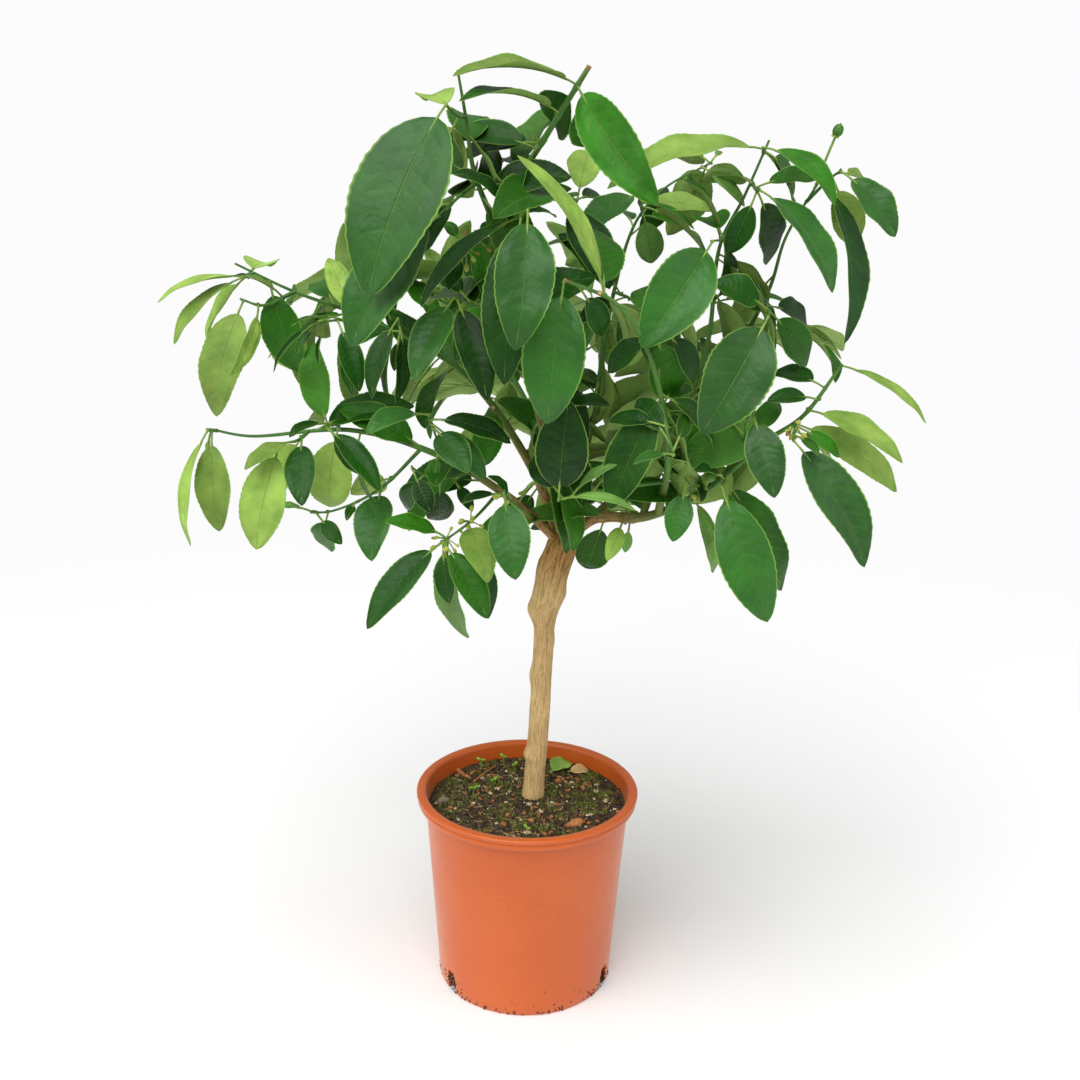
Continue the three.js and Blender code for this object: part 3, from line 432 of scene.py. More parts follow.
def point_values(tree, name):
    """The three values of a named triple on the points."""
    triple = put(tree, "ShaderNodeAttribute", {"attribute_name": name}).outputs["Vector"]
    split = put(tree, "ShaderNodeSeparateXYZ", Vector=triple)
    return split.outputs["X"], split.outputs["Y"], split.outputs["Z"]


def node_group(name, inputs, outputs):
    """A new shader node group, with its tree, its input sockets and its output sockets."""
    tree = bpy.data.node_groups.new(name, "ShaderNodeTree")
    for label, (kind, value) in inputs.items():
        socket = tree.interface.new_socket(label, in_out="INPUT", socket_type=kind)
        socket.default_value = value
    for label, kind in outputs.items():
        tree.interface.new_socket(label, in_out="OUTPUT", socket_type=kind)
    entry = tree.nodes.new("NodeGroupInput")
    leave = tree.nodes.new("NodeGroupOutput")
    return tree, entry.outputs, leave.inputs


def use_group(tree, group, **inputs):
    """Place a node group in a tree, with its own values."""
    node = put(tree, "ShaderNodeGroup", {"node_tree": group})
    for name, value in inputs.items():
        feed(tree, node.inputs[name.replace("_", " ")], value)
    return node.outputs


def new_finish(name, **fixed):
    """A new material, its node tree and its surface shader with the given fixed values."""
    material = bpy.data.materials.new(name)
    material.use_nodes = True
    tree = material.node_tree
    surface = tree.nodes["Principled BSDF"]
    for label, value in fixed.items():
        surface.inputs[label.replace("_", " ")].default_value = value
    return material, tree, surface


def relief(tree, surface, height, depth, strength=1.0):
    """Give a shader bumps of a depth in metres from a height value."""
    bump = put(tree, "ShaderNodeBump", Height=height, Strength=strength, Distance=depth)
    tree.links.new(bump.outputs["Normal"], surface.inputs["Normal"])


# ---------------------------------------------------------------- fixed sizes, in metres

POT_SIDES = 176
SOIL_SIDES = 96
SLOT_ANGLES = (-55, 65, 185)            # degrees round the pot from the front, to the right
TRUNK_HEIGHT = 0.225
TRUNK_LEAN = 0.020                      # how far the fork stands to the right of the trunk's foot
ROOT_DEPTH = 0.070
FORK = (0.025, 0.0, 0.392)
TRUNK_FOOT = (0.005, 0.0, 0.167)
TRUNK_BEND = ((0.0, 0.0), (0.2, 0.3), (0.3, 0.56), (0.45, 0.8), (1.0, 1.0))   # (aside, up) shares
TRUNK_STEPS = 200
TRUNK_SIDES = 56
HEAD_SWELLS = (0.74, 0.86)              # shares of the trunk's length between which its head swells
HEAD_BROWNS = (0.84, 1.0)
HEART = (0.0, 0.03, 0.56)                # the dense inner part of the crown
HEART_REACH = (0.215, 0.19, 0.185)
INNER_TRIES = 12

SHOOT_RADIUS = 1.6 * MM
SHOOT_TIP_RADIUS = 1.3 * MM
THICK_LIMB = 2.0 * MM                   # stems thicker than this are limbs
BARE_STEM = 3.0 * MM                    # bare stem between a branch's root and its first leaf
STEM_STEP = 4.0 * MM                    # between the rings of a stem
LIMB_SIDES = 14
TWIG_SIDES = 8
NODE_SWELL = 0.28                       # rise of a stem where a leaf grows, as a share of its radius
NODE_LENGTH = 2.2 * MM
STALK_RADIUS = 0.85 * MM
TIP_SLACK = 0.25 * MM                   # how far a CAD leaf's length may differ from the leaf's own
GOLDEN_ANGLE = 137.5
INNER_LEAF_LENGTHS = (0.055, 0.09)
BLADE_ROWS = 34
BLADE_COLUMNS = 11
BLADE_THICKNESS = 0.35 * MM
TOOTH_DEPTH = 0.034                     # share of the half width
SLIMMER_TIP = 0.44                      # share of its thickness that a stem loses towards its tip
FRUIT_RADIUS = 4.0 * MM

# A swelling of the trunk: its share of the length, its length as a share, the side it is on in
# degrees from the front, and its rise as a share of the radius.
Swelling = namedtuple("Swelling", "at long turn rise")
SWELLINGS = [Swelling(0.365, 0.016, -90, 0.26), Swelling(0.61, 0.026, -100, 0.24),
             Swelling(0.80, 0.030, -85, 0.42), Swelling(0.72, 0.020, 60, 0.10),
             Swelling(0.86, 0.030, 80, 0.16), Swelling(0.93, 0.035, -60, 0.18)]

PRUNED_ENDS = {"leader", "limb_top_left", "limb_front"}

# A pruning scar: the branch it is on, its share of the length, its turn round the tree and its size.
Scar = namedtuple("Scar", "branch at turn size")
SCARS = [Scar("limb_right", 0.42, -20, 2.6 * MM), Scar("limb_front", 0.90, 20, 1.9 * MM),
         Scar("leader", 0.30, -10, 2.4 * MM), Scar("leader", 0.74, 30, 1.8 * MM),
         Scar("limb_left_high", 0.35, -10, 2.0 * MM), Scar("limb_right_high", 0.30, 10, 1.8 * MM)]

# What lies on the compost: (x, y, height above it), and for leaves a width ratio, a turn and a tilt.
FALLEN_LEAF = ((0.020, 0.044, 0.002), (0.038, 0.074, 0.003), 0.6, 0, 70)
DRY_LEAF = ((0.036, 0.050, 0.002), (0.055, 0.055, 0.003), 0.7, 20, 75)
DRY_TWIG = ((-0.048, 0.026, 0.002), (-0.038, 0.044, 0.003), (-0.030, 0.060, 0.002))
BARK_CHIP = (0.040, -0.045, 0.002, 0.0085, 0.5, "bark_scrap")
PEBBLE = (-0.072, -0.006, 0.001, 0.006, 0.75, "pebble_grey")
SEEDLINGS = [(-0.047, 0.005, 0.007), (-0.042, 0.060, 0.008), (-0.022, 0.068, 0.009),
             (-0.012, 0.050, 0.008), (-0.028, 0.020, 0.006), (0.001, -0.058, 0.006)]
CRUMB_KINDS = [("dark_compost", 0.56, 0.9 * MM, 2.8 * MM), ("brown_crumb", 0.34, 0.8 * MM, 2.8 * MM),
               ("bark_scrap", 0.10, 0.8 * MM, 3.4 * MM)]
PERLITE_KINDS = [("perlite", 0.8, 0.5 * MM, 1.3 * MM), ("pebble_grey", 0.2, 0.8 * MM, 1.6 * MM)]
PERLITE_GRAINS = 170
MOSS_PATCHES = 135
# Scraps of bark and dry tufts on the compost: (x, y, half length).
SCRAPS = [(-0.060, 0.046, 0.0062), (-0.055, 0.040, 0.0050), (-0.050, 0.046, 0.0042),
          (0.044, 0.034, 0.0040), (0.034, 0.062, 0.0048), (0.052, 0.026, 0.0036),
          (-0.064, -0.020, 0.0046), (0.010, -0.036, 0.0034), (0.024, -0.026, 0.0030)]
TUFTS = [(0.001, -0.060, 0.0044), (0.002, -0.020, 0.0036), (-0.026, 0.010, 0.0034), (0.060, 0.016, 0.0032),
         (0.054, -0.028, 0.0030), (-0.040, 0.034, 0.0028), (0.012, -0.030, 0.0026), (0.068, -0.002, 0.0030)]
SMALL_TUFTS = 46
TUFT_STRAWS = 11
SLOT_ROOTS = 4                          # roots that show in each drainage slot
SPLASHED_CRUMBS = 300
FIBRES = 230

# Clusters of buds on a twig: share of its length, number of buds, and spread.
BUD_CLUSTERS = {
    "shoot_flowers_left": [(0.6, 7, 0.012), (0.95, 9, 0.014)],
    "shoot_leader_flowers": [(0.5, 6, 0.011), (0.95, 8, 0.014)],
    "shoot_right_low": [(0.3, 5, 0.010)],
    "shoot_right_fan": [(0.25, 6, 0.010), (0.6, 4, 0.010)],
    "shoot_low_middle": [(0.8, 5, 0.010)],
}

# Leaves inside the crown, by branch, beside the named ones.
INNER_LEAVES = {
    "limb_back": 24, "limb_back_left": 18, "limb_back_right": 18, "limb_left_high": 22, "leader": 26,
    "limb_right_high": 20, "limb_right_back": 16, "limb_left_low": 10, "limb_right": 12, "limb_front": 10,
    "limb_top_left": 7, "shoot_leader_inner": 4, "shoot_far_middle": 4, "shoot_far_top": 4,
}

FRUITS = {
    "fruit_high": ("limb_right_back", 0.97, [(0.192, 0.006, 0.305), (0.197, 0.004, 0.320)]),
    "fruit_low": ("limb_right", 0.47, [(0.107, -0.045, 0.060), (0.108, -0.064, 0.072)]),
}

# Twigs whose leaves stand in a spiral: number of leaves, and how far they reach.
SPIRALS = {
    "shoot_far_left": (7, 0.085), "shoot_far_left_low": (7, 0.080), "shoot_far_top": (7, 0.080),
    "shoot_far_middle": (8, 0.085), "shoot_far_right": (7, 0.080), "shoot_far_right_low": (7, 0.080),
}

# Where the random draws of each group of small things start.
SEEDS = {"crumbs": 1, "perlite": 2, "moss": 5, "litter": 8, "fibres": 11, "buds": 17, "seedlings": 23,
         "scraps": 31, "splashes": 41}

CAMERA_PLACE = (0.007, -0.967, 0.671)
FLOOR_SIZE = 40.0
FLOOR_FADES = (0.7, 1.9)                 # the floor melts into the backdrop between these distances
TREE_MIDDLE = (0.0, 0.0, 0.4)
SENSOR_WIDTH = 36.0                      # of the camera, in millimetres
OVERHEAD_PLACE = (-0.5, -1.1, 2.2)
OVERHEAD_WIDTH = math.radians(62)
SIDE_PLACE = (1.3, -0.4, 0.9)            # of the right one, with the left one opposite
SIDE_SIZE = 1.0


# ---------------------------------------------------------------- where the crown grows
#
# A branch starts on its parent at a share of that one's length, tapers from its root radius to its
# tip radius, and passes through a few points given from the fork. A leaf grows at a share of its
# branch and reaches to a tip, also given from the fork. Its width is a share of its length, and its
# upper face is turned round the tree from the front, and up from level, both in degrees.

Branch = namedtuple("Branch", "name parent at root tip path leaves")
Leaf = namedtuple("Leaf", "along tip ratio turn tilt tone")


def shoot(name, parent, at, path, leaves=()):
    """A thin branch."""
    return Branch(name, parent, at, SHOOT_RADIUS, SHOOT_TIP_RADIUS, path, leaves)



BRANCHES = [
    Branch("limb_right", "trunk", 1.00, 0.0052, 0.002,
           [(0.025, -0.01, 0.025), (0.065, -0.02, 0.03), (0.105, -0.025, 0.05),
            (0.155, -0.03, 0.095), (0.18, -0.035, 0.115), (0.205, -0.04, 0.155)], [
        Leaf(1, (0.275, -0.04, 0.115), 0.16, 0, 60, YOUNG),
        Leaf(0.84, (0.25, -0.07, 0.09), 0.34, 10, 55, YOUNG),
        Leaf(0.92, (0.16, 0, 0.145), 0.5, 0, 50, DARK),
        Leaf(0.88, (0.15, -0.05, 0.13), 0.5, 0, 50, DARK),
        Leaf(0.18, (0.035, -0.04, 0), 0.5, 0, 10, YOUNG),
        Leaf(0.2, (0.05, -0.02, 0), 0.5, 0, 10, PALE),
        Leaf(0.12, (0.02, 0.01, -0.025), 0.6, 0, 10, MID),
    ]),
    Branch("limb_left_low", "trunk", 1.00, 0.0042, 0.0016,
           [(-0.035, -0.01, 0.035), (-0.095, -0.02, 0.075), (-0.165, -0.02, 0.095),
            (-0.245, -0.025, 0.09), (-0.275, -0.025, 0.095)], []),
    Branch("limb_left_high", "trunk", 1.00, 0.0046, 0.0015,
           [(-0.025, 0.03, 0.055), (-0.08, 0.04, 0.13), (-0.15, 0.015, 0.175), (-0.21, -0.01, 0.2),
            (-0.25, -0.02, 0.22)], []),
    Branch("leader", "trunk", 1.00, 0.005, 0.0032,
           [(-0.015, -0.005, 0.09), (-0.055, -0.02, 0.22), (-0.055, -0.03, 0.26),
            (-0.025, -0.045, 0.305), (0.01, -0.06, 0.36)], [
        Leaf(0.96, (-0.08, -0.11, 0.35), 0.36, -10, 70, YOUNG),
        Leaf(0.96, (0.055, -0.12, 0.27), 0.34, -50, 30, MID),
        Leaf(0.96, (0.02, -0.02, 0.31), 0.9, 0, 10, MID),
        Leaf(0.96, (-0.015, -0.01, 0.32), 0.8, -10, 10, MID),
        Leaf(0.9, (-0.075, -0.12, 0.335), 0.3, -10, 75, MID),
        Leaf(0.84, (-0.03, -0.06, 0.315), 0.5, 180, -20, PALE),
    ]),
    Branch("limb_top_left", "leader", 0.67, 0.0024, 0.0016,
           [(-0.07, -0.05, 0.29), (-0.075, -0.06, 0.325), (-0.08, -0.07, 0.355)], []),
    Branch("limb_right_high", "limb_right", 0.28, 0.0032, 0.0016,
           [(0.08, 0, 0.075), (0.11, 0.01, 0.16), (0.115, 0, 0.24), (0.13, -0.005, 0.275),
            (0.145, -0.01, 0.315)], []),
    Branch("limb_right_back", "limb_right", 0.13, 0.004, 0.0015,
           [(0.105, 0.07, 0.09), (0.16, 0.04, 0.2), (0.17, 0.03, 0.245), (0.19, 0.01, 0.29)], []),
    Branch("limb_front", "limb_right", 0.33, 0.0034, 0.002,
           [(0.075, -0.075, 0.095), (0.055, -0.1, 0.17), (0.03, -0.12, 0.205),
            (-0.005, -0.125, 0.22)], [
        Leaf(1, (-0.015, -0.14, 0.125), 0.5, -5, 15, GLOSS_AND_PAINTED_SHEEN),
        Leaf(0.88, (-0.035, -0.13, 0.3), 0.26, 60, 30, YOUNG),
        Leaf(0.88, (0.01, -0.06, 0.255), 0.55, 30, 20, MID),
        Leaf(0.96, (0.025, -0.1, 0.18), 0.5, 10, 20, DARK),
    ]),
    Branch("limb_back", "trunk", 1.00, 0.0042, 0.0012,
           [(0.025, 0.09, 0.085), (0.04, 0.075, 0.2), (0.055, 0.06, 0.255), (0.075, 0.05, 0.28),
            (0.11, 0.045, 0.3)], [
        Leaf(0.98, (0.135, 0.02, 0.27), 0.3, 0, 40, PALE),
        Leaf(1, (0.12, 0.06, 0.31), 0.5, 0, 40, PALE),
    ]),
    Branch("limb_back_left", "limb_left_high", 0.22, 0.0034, 0.0016,
           [(-0.02, 0.09, 0.075), (-0.075, 0.12, 0.16), (-0.125, 0.11, 0.195)], []),
    Branch("limb_back_right", "limb_back", 0.25, 0.003, 0.0016,
           [(0.07, 0.11, 0.065), (0.125, 0.15, 0.125), (0.16, 0.15, 0.15)], []),
    shoot("shoot_tip_left_high", "limb_left_high", 0.96,
          [(-0.245, -0.02, 0.21)], [
        Leaf(0.7, (-0.305, -0.04, 0.195), 0.3, -30, 75, YOUNG),
        Leaf(0.74, (-0.295, -0.045, 0.165), 0.36, -50, 50, YOUNG),
        Leaf(0, (-0.22, 0.025, 0.235), 0.62, 0, 35, YOUNG),
        Leaf(0.06, (-0.285, 0.005, 0.15), 0.3, -60, 20, YOUNG),
    ]),
    shoot("shoot_left_high_fan", "limb_left_high", 0.87,
          [(-0.23, -0.025, 0.19), (-0.245, -0.03, 0.195)], [
        Leaf(0.94, (-0.265, -0.05, 0.11), 0.46, -10, 15, YOUNG),
        Leaf(0.66, (-0.245, -0.06, 0.14), 0.3, 70, 15, YOUNG),
        Leaf(0.14, (-0.245, -0.05, 0.215), 0.3, -40, 80, DARK),
        Leaf(0.14, (-0.215, 0.005, 0.135), 0.6, 0, 20, YOUNG),
    ]),
    shoot("shoot_left_high_dark", "limb_left_high", 0.68,
          [(-0.17, -0.02, 0.18), (-0.185, -0.04, 0.18)], [
        Leaf(0.62, (-0.205, -0.045, 0.18), 0.28, -60, 45, DARK),
        Leaf(0.84, (-0.195, -0.06, 0.175), 0.38, -30, 40, DARK),
        Leaf(0.98, (-0.2, -0.055, 0.16), 0.42, -20, 30, DARK),
        Leaf(1, (-0.22, -0.05, 0.145), 0.3, -60, 40, DARK),
        Leaf(0.86, (-0.185, -0.05, 0.15), 0.3, -65, 20, DARK),
        Leaf(0.7, (-0.155, -0.045, 0.13), 0.4, 20, 20, DARK),
        Leaf(0.34, (-0.165, -0.03, 0.125), 0.34, -40, 20, DARK),
        Leaf(0.46, (-0.185, 0.01, 0.225), 0.45, 0, 60, YOUNG),
    ]),
    shoot("shoot_left_high_inner", "limb_left_high", 0.55,
          [(-0.125, -0.02, 0.17), (-0.125, -0.05, 0.185)], [
        Leaf(1, (-0.145, -0.07, 0.13), 0.4, -30, 20, DARK),
        Leaf(0.84, (-0.125, -0.06, 0.125), 0.36, 50, 10, DARK),
        Leaf(0.72, (-0.13, -0.04, 0.145), 0.42, 0, 30, DARK),
        Leaf(0.68, (-0.175, 0.01, 0.155), 0.4, 0, 50, DARK),
    ]),
    shoot("shoot_tip_left_low", "limb_left_low", 0.98,
          [(-0.275, -0.03, 0.095)], [
        Leaf(1, (-0.295, -0.04, 0.005), 0.26, -55, 15, YOUNG),
        Leaf(0, (-0.27, -0.035, 0.015), 0.4, 0, 10, YOUNG),
        Leaf(0, (-0.285, 0.01, 0.09), 0.4, 0, 60, YOUNG),
    ]),
    shoot("shoot_left_low_outer", "limb_left_low", 0.75,
          [(-0.205, -0.04, 0.09), (-0.215, -0.05, 0.09)], [
        Leaf(1, (-0.235, -0.065, 0.01), 0.48, -5, 15, YOUNG),
        Leaf(0.52, (-0.24, -0.07, 0.07), 0.42, -20, 45, YOUNG),
        Leaf(0.22, (-0.195, -0.08, 0.05), 0.46, 0, 10, DARK),
        Leaf(0.04, (-0.245, 0.01, 0.03), 0.4, 0, 20, YOUNG),
    ]),
    shoot("shoot_left_low_fold", "limb_left_low", 0.67,
          [(-0.175, -0.05, 0.105), (-0.18, -0.065, 0.105)], [
        Leaf(0.92, (-0.135, -0.09, 0.065), 0.36, 30, 35, DARK),
        Leaf(0.8, (-0.15, -0.07, 0.07), 0.36, -30, 20, DARK),
        Leaf(0.7, (-0.2, -0.09, 0.105), 0.4, -20, 70, DARK),
        Leaf(0.16, (-0.19, 0, 0.025), 0.5, 0, 10, YOUNG),
    ]),
    shoot("shoot_left_low_drop", "limb_left_low", 0.46,
          [(-0.145, -0.03, 0.05), (-0.18, -0.04, 0.035), (-0.195, -0.045, 0.035)], [
        Leaf(0.98, (-0.23, -0.03, 0.035), 0.3, 0, 70, PALE),
        Leaf(0.96, (-0.17, -0.06, 0.015), 0.6, 0, 20, DARK),
        Leaf(0.86, (-0.19, -0.01, -0.005), 0.6, -10, 20, MID),
        Leaf(0.38, (-0.145, -0.08, 0.01), 0.56, -10, 15, GLOSS_AND_PAINTED_SHEEN),
        Leaf(0.28, (-0.17, 0, 0.04), 0.6, 180, 10, PALE),
        Leaf(0.62, (-0.165, -0.06, 0.035), 0.5, 0, 30, MID),
    ]),
    shoot("shoot_left_low_front", "limb_left_low", 0.37,
          [(-0.095, -0.06, 0.095), (-0.1, -0.085, 0.12)], [
        Leaf(1, (-0.14, -0.12, 0.115), 0.52, -20, 60, GLOSS_AND_PAINTED_SHEEN),
        Leaf(0.8, (-0.07, -0.11, 0.085), 0.6, 10, 30, GLOSS_AND_PAINTED_SHEEN),
        Leaf(0.86, (-0.06, -0.095, 0.075), 0.44, 30, 25, GLOSS_AND_PAINTED_SHEEN),
        Leaf(0.92, (-0.04, -0.1, 0.105), 0.42, 20, 60, DARK),
        Leaf(0.46, (-0.1, -0.07, 0.065), 0.5, -10, 20, MID),
    ]),
    shoot("shoot_left_low_inner", "limb_left_low", 0.32,
          [(-0.1, -0.05, 0.065), (-0.115, -0.06, 0.075)], [
        Leaf(1, (-0.1, -0.075, 0.045), 0.62, 0, 20, DARK),
        Leaf(0.8, (-0.125, -0.03, 0.035), 0.5, -20, 20, DARK),
        Leaf(0.52, (-0.1, -0.01, 0.02), 0.5, 10, 20, DARK),
        Leaf(0.28, (-0.07, -0.05, 0.04), 0.5, 10, 20, DARK),
    ]),
    shoot("shoot_flowers_left", "limb_left_low", 0.23,
          [(-0.07, -0.06, 0.035), (-0.09, -0.085, 0.025)], [
        Leaf(1, (-0.145, -0.11, -0.035), 0.38, -30, 30, DARK),
        Leaf(1, (-0.055, -0.11, -0.025), 0.42, 20, 20, MID),
        Leaf(1, (-0.085, -0.095, -0.02), 0.46, -10, 20, DARK),
        Leaf(0.92, (-0.075, -0.05, -0.065), 0.34, -40, 10, PALE),
        Leaf(0.64, (-0.055, -0.125, 0.01), 0.46, 10, 20, YOUNG),
        Leaf(0.94, (-0.13, -0.1, 0.045), 0.46, -10, 60, MID),
        Leaf(0.76, (-0.055, -0.07, -0.04), 0.34, 50, 10, DARK),
    ]),
    shoot("shoot_low_middle", "limb_left_low", 0.10,
          [(-0.04, -0.06, 0.05), (-0.045, -0.09, 0.065)], [
        Leaf(1, (-0.035, -0.125, 0.01), 0.56, 0, 15, GLOSS_AND_PAINTED_SHEEN),
        Leaf(0.88, (-0.075, -0.1, 0.06), 0.4, 0, 70, DARK),
        Leaf(0.64, (-0.055, -0.08, 0.075), 0.42, 0, 50, DARK),
        Leaf(0.52, (-0.065, -0.04, 0.01), 0.4, -10, 40, MID),
    ]),
    shoot("shoot_top_big", "limb_top_left", 0.72,
          [(-0.08, -0.09, 0.325), (-0.085, -0.11, 0.33)], [
        Leaf(1, (-0.135, -0.15, 0.21), 0.52, -15, 20, GLOSS_AND_PAINTED_SHEEN),
        Leaf(0.7, (-0.105, -0.04, 0.34), 0.5, 0, 50, YOUNG),
        Leaf(0.36, (-0.095, -0.06, 0.29), 0.4, 0, 20, DARK),
    ]),
    shoot("shoot_top_left_low", "limb_top_left", 0.31,
          [(-0.08, -0.09, 0.27), (-0.09, -0.11, 0.26)], [
        Leaf(1, (-0.15, -0.13, 0.175), 0.5, -25, 20, GLOSS_AND_PAINTED_SHEEN),
        Leaf(0.04, (-0.07, -0.02, 0.35), 0.44, 0, 10, YOUNG),
        Leaf(0.74, (-0.155, -0.06, 0.235), 0.35, -30, 50, DARK),
        Leaf(0.42, (-0.11, -0.06, 0.23), 0.4, -10, 30, DARK),
    ]),
    shoot("shoot_leader_left", "leader", 0.71,
          [(-0.04, -0.06, 0.26), (-0.035, -0.1, 0.26), (-0.03, -0.13, 0.265)], [
        Leaf(1, (-0.035, -0.17, 0.18), 0.48, 10, 20, GLOSS_AND_PAINTED_SHEEN),
        Leaf(0.18, (-0.08, -0.09, 0.29), 0.42, 0, 50, DARK),
        Leaf(0.5, (-0.105, -0.1, 0.2), 0.3, -50, 50, DARK),
        Leaf(0.7, (-0.045, -0.13, 0.15), 0.36, -10, 15, DARK),
        Leaf(0.3, (-0.01, -0.03, 0.26), 0.35, 0, 60, MID),
    ]),
    shoot("shoot_leader_right", "leader", 0.78,
          [(-0.01, -0.02, 0.27), (0.005, -0.01, 0.27)], [
        Leaf(1, (-0.075, -0.08, 0.295), 0.44, 0, 60, MID),
        Leaf(1, (0.015, 0.04, 0.31), 0.5, 0, 40, YOUNG),
        Leaf(0.76, (0.03, -0.05, 0.21), 0.5, 20, 20, DARK),
        Leaf(0.96, (0.03, 0.03, 0.27), 0.5, 0, 50, MID),
    ]),
    shoot("shoot_leader_inner", "leader", 0.42,
          [(-0.055, -0.06, 0.19), (-0.08, -0.1, 0.205)], [
        Leaf(1, (-0.105, -0.14, 0.155), 0.46, -15, 20, GLOSS_AND_PAINTED_SHEEN),
        Leaf(0.98, (-0.055, -0.13, 0.14), 0.4, 15, 15, DARK),
        Leaf(0.8, (-0.095, -0.06, 0.22), 0.5, 0, 40, DARK),
        Leaf(0.54, (-0.085, -0.05, 0.155), 0.5, 0, 30, DARK),
        Leaf(0.44, (-0.065, -0.01, 0.235), 0.4, 0, 40, MID),
    ]),
    shoot("shoot_leader_flowers", "leader", 0.64,
          [(-0.07, -0.06, 0.24), (-0.075, -0.07, 0.235)], [
        Leaf(0.94, (-0.09, -0.06, 0.255), 0.6, 0, 30, MID),
        Leaf(0.78, (-0.055, -0.05, 0.255), 0.6, 0, 30, DARK),
        Leaf(1, (-0.085, -0.09, 0.21), 0.5, 0, 20, DARK),
    ]),
    shoot("shoot_front_upright", "limb_front", 0.18,
          [(0.025, -0.08, 0.065), (-0.005, -0.09, 0.06)], [
        Leaf(1, (0, -0.1, 0.135), 0.6, -5, 20, DARK),
        Leaf(0.96, (0.05, -0.11, 0.06), 0.28, 10, 70, PALE),
        Leaf(0.88, (0.035, -0.1, 0.09), 0.3, 20, 60, PALE),
        Leaf(0.68, (0.05, -0.06, 0.1), 0.42, 20, 40, DARK),
        Leaf(0.96, (-0.025, -0.05, 0.085), 0.5, -20, 30, DARK),
    ]),
    shoot("shoot_front_mid", "limb_front", 0.50,
          [(0.07, -0.11, 0.115), (0.075, -0.115, 0.1)], [
        Leaf(1, (0.045, -0.14, 0.1), 0.32, 0, 65, GLOSS_AND_PAINTED_SHEEN),
        Leaf(0.92, (0.085, -0.09, 0.125), 0.5, 20, 20, MID),
        Leaf(0.78, (0.05, -0.08, 0.135), 0.5, -10, 30, DARK),
        Leaf(0.46, (0.03, -0.09, 0.12), 0.5, -10, 50, DARK),
    ]),
    shoot("shoot_front_high", "limb_front", 0.72,
          [(0.055, -0.1, 0.185), (0.065, -0.095, 0.185)], [
        Leaf(0.64, (0.03, -0.09, 0.15), 0.5, -10, 30, DARK),
        Leaf(1, (0.095, -0.07, 0.145), 0.5, 20, 30, DARK),
        Leaf(1, (0.05, -0.05, 0.21), 0.55, 0, 30, MID),
        Leaf(0.56, (0.08, -0.06, 0.13), 0.5, 0, 20, MID),
    ]),
    shoot("shoot_right_high_big", "limb_right_high", 0.76,
          [(0.11, -0.04, 0.245), (0.1, -0.07, 0.245)], [
        Leaf(1, (0.05, -0.11, 0.175), 0.52, 10, 20, GLOSS_AND_PAINTED_SHEEN),
        Leaf(0.28, (0.105, 0.03, 0.26), 0.6, 0, 30, MID),
        Leaf(0.26, (0.115, 0.02, 0.195), 0.4, 30, 20, DARK),
    ]),
    shoot("shoot_right_high_top", "limb_right_high", 0.97,
          [(0.14, -0.02, 0.31)], [
        Leaf(0.54, (0.025, -0.05, 0.285), 0.32, -10, 65, YOUNG),
        Leaf(1, (0.185, -0.07, 0.275), 0.44, 30, 40, MID),
        Leaf(0, (0.165, 0.02, 0.295), 0.6, 0, 40, GLOSS_AND_PAINTED_SHEEN),
        Leaf(0, (0.19, 0.03, 0.275), 0.4, 10, 40, MID),
    ]),
    shoot("shoot_right_high_side", "limb_right_high", 0.90,
          [(0.135, -0.03, 0.28), (0.135, -0.045, 0.28)], [
        Leaf(1, (0.185, -0.09, 0.215), 0.42, 40, 40, GLOSS_AND_PAINTED_SHEEN),
        Leaf(0.64, (0.115, -0.02, 0.235), 0.5, 10, 20, DARK),
        Leaf(0.36, (0.185, 0.01, 0.29), 0.36, 0, 50, MID),
        Leaf(0.62, (0.155, 0.01, 0.225), 0.5, 20, 20, DARK),
        Leaf(0.1, (0.105, 0, 0.295), 0.3, 0, 60, PALE),
    ]),
    shoot("shoot_right_back_tip", "limb_right_back", 0.94,
          [(0.195, 0, 0.29), (0.2, -0.01, 0.295)], [
        Leaf(0.98, (0.24, -0.03, 0.25), 0.52, 10, 35, GLOSS_AND_PAINTED_SHEEN),
        Leaf(0.7, (0.22, 0.01, 0.24), 0.56, 0, 10, YOUNG),
        Leaf(0.46, (0.205, -0.06, 0.175), 0.34, 50, 15, DARK),
        Leaf(0.88, (0.245, 0.04, 0.275), 0.4, 10, 60, YOUNG),
    ]),
    shoot("shoot_right_back_mid", "limb_right_back", 0.73,
          [(0.15, -0.02, 0.195), (0.145, -0.06, 0.195), (0.14, -0.085, 0.195)], [
        Leaf(1, (0.095, -0.11, 0.115), 0.58, 5, 20, GLOSS_AND_PAINTED_SHEEN),
        Leaf(0.64, (0.105, -0.05, 0.215), 0.75, 10, 40, DARK),
        Leaf(0.56, (0.18, -0.01, 0.14), 0.5, 10, 20, MID),
        Leaf(0.4, (0.195, 0.03, 0.175), 0.5, 10, 40, DARK),
    ]),
    shoot("shoot_right_fan", "limb_right", 0.80,
          [(0.17, -0.06, 0.11), (0.165, -0.08, 0.105)], [
        Leaf(0.98, (0.22, -0.11, 0.02), 0.4, 20, 20, GLOSS_AND_PAINTED_SHEEN),
        Leaf(0.3, (0.205, -0.06, 0.09), 0.5, 20, 40, MID),
        Leaf(0.6, (0.23, -0.02, 0.065), 0.34, 20, 60, PALE),
        Leaf(0, (0.245, -0.03, 0.035), 0.3, 40, 20, YOUNG),
        Leaf(0.8, (0.18, -0.1, 0.1), 0.42, 0, 50, MID),
    ]),
    shoot("shoot_right_bluish", "limb_right", 0.64,
          [(0.13, -0.08, 0.115), (0.13, -0.1, 0.13)], [
        Leaf(1, (0.145, -0.13, 0.075), 0.52, -5, 20, GLOSS_AND_PAINTED_SHEEN),
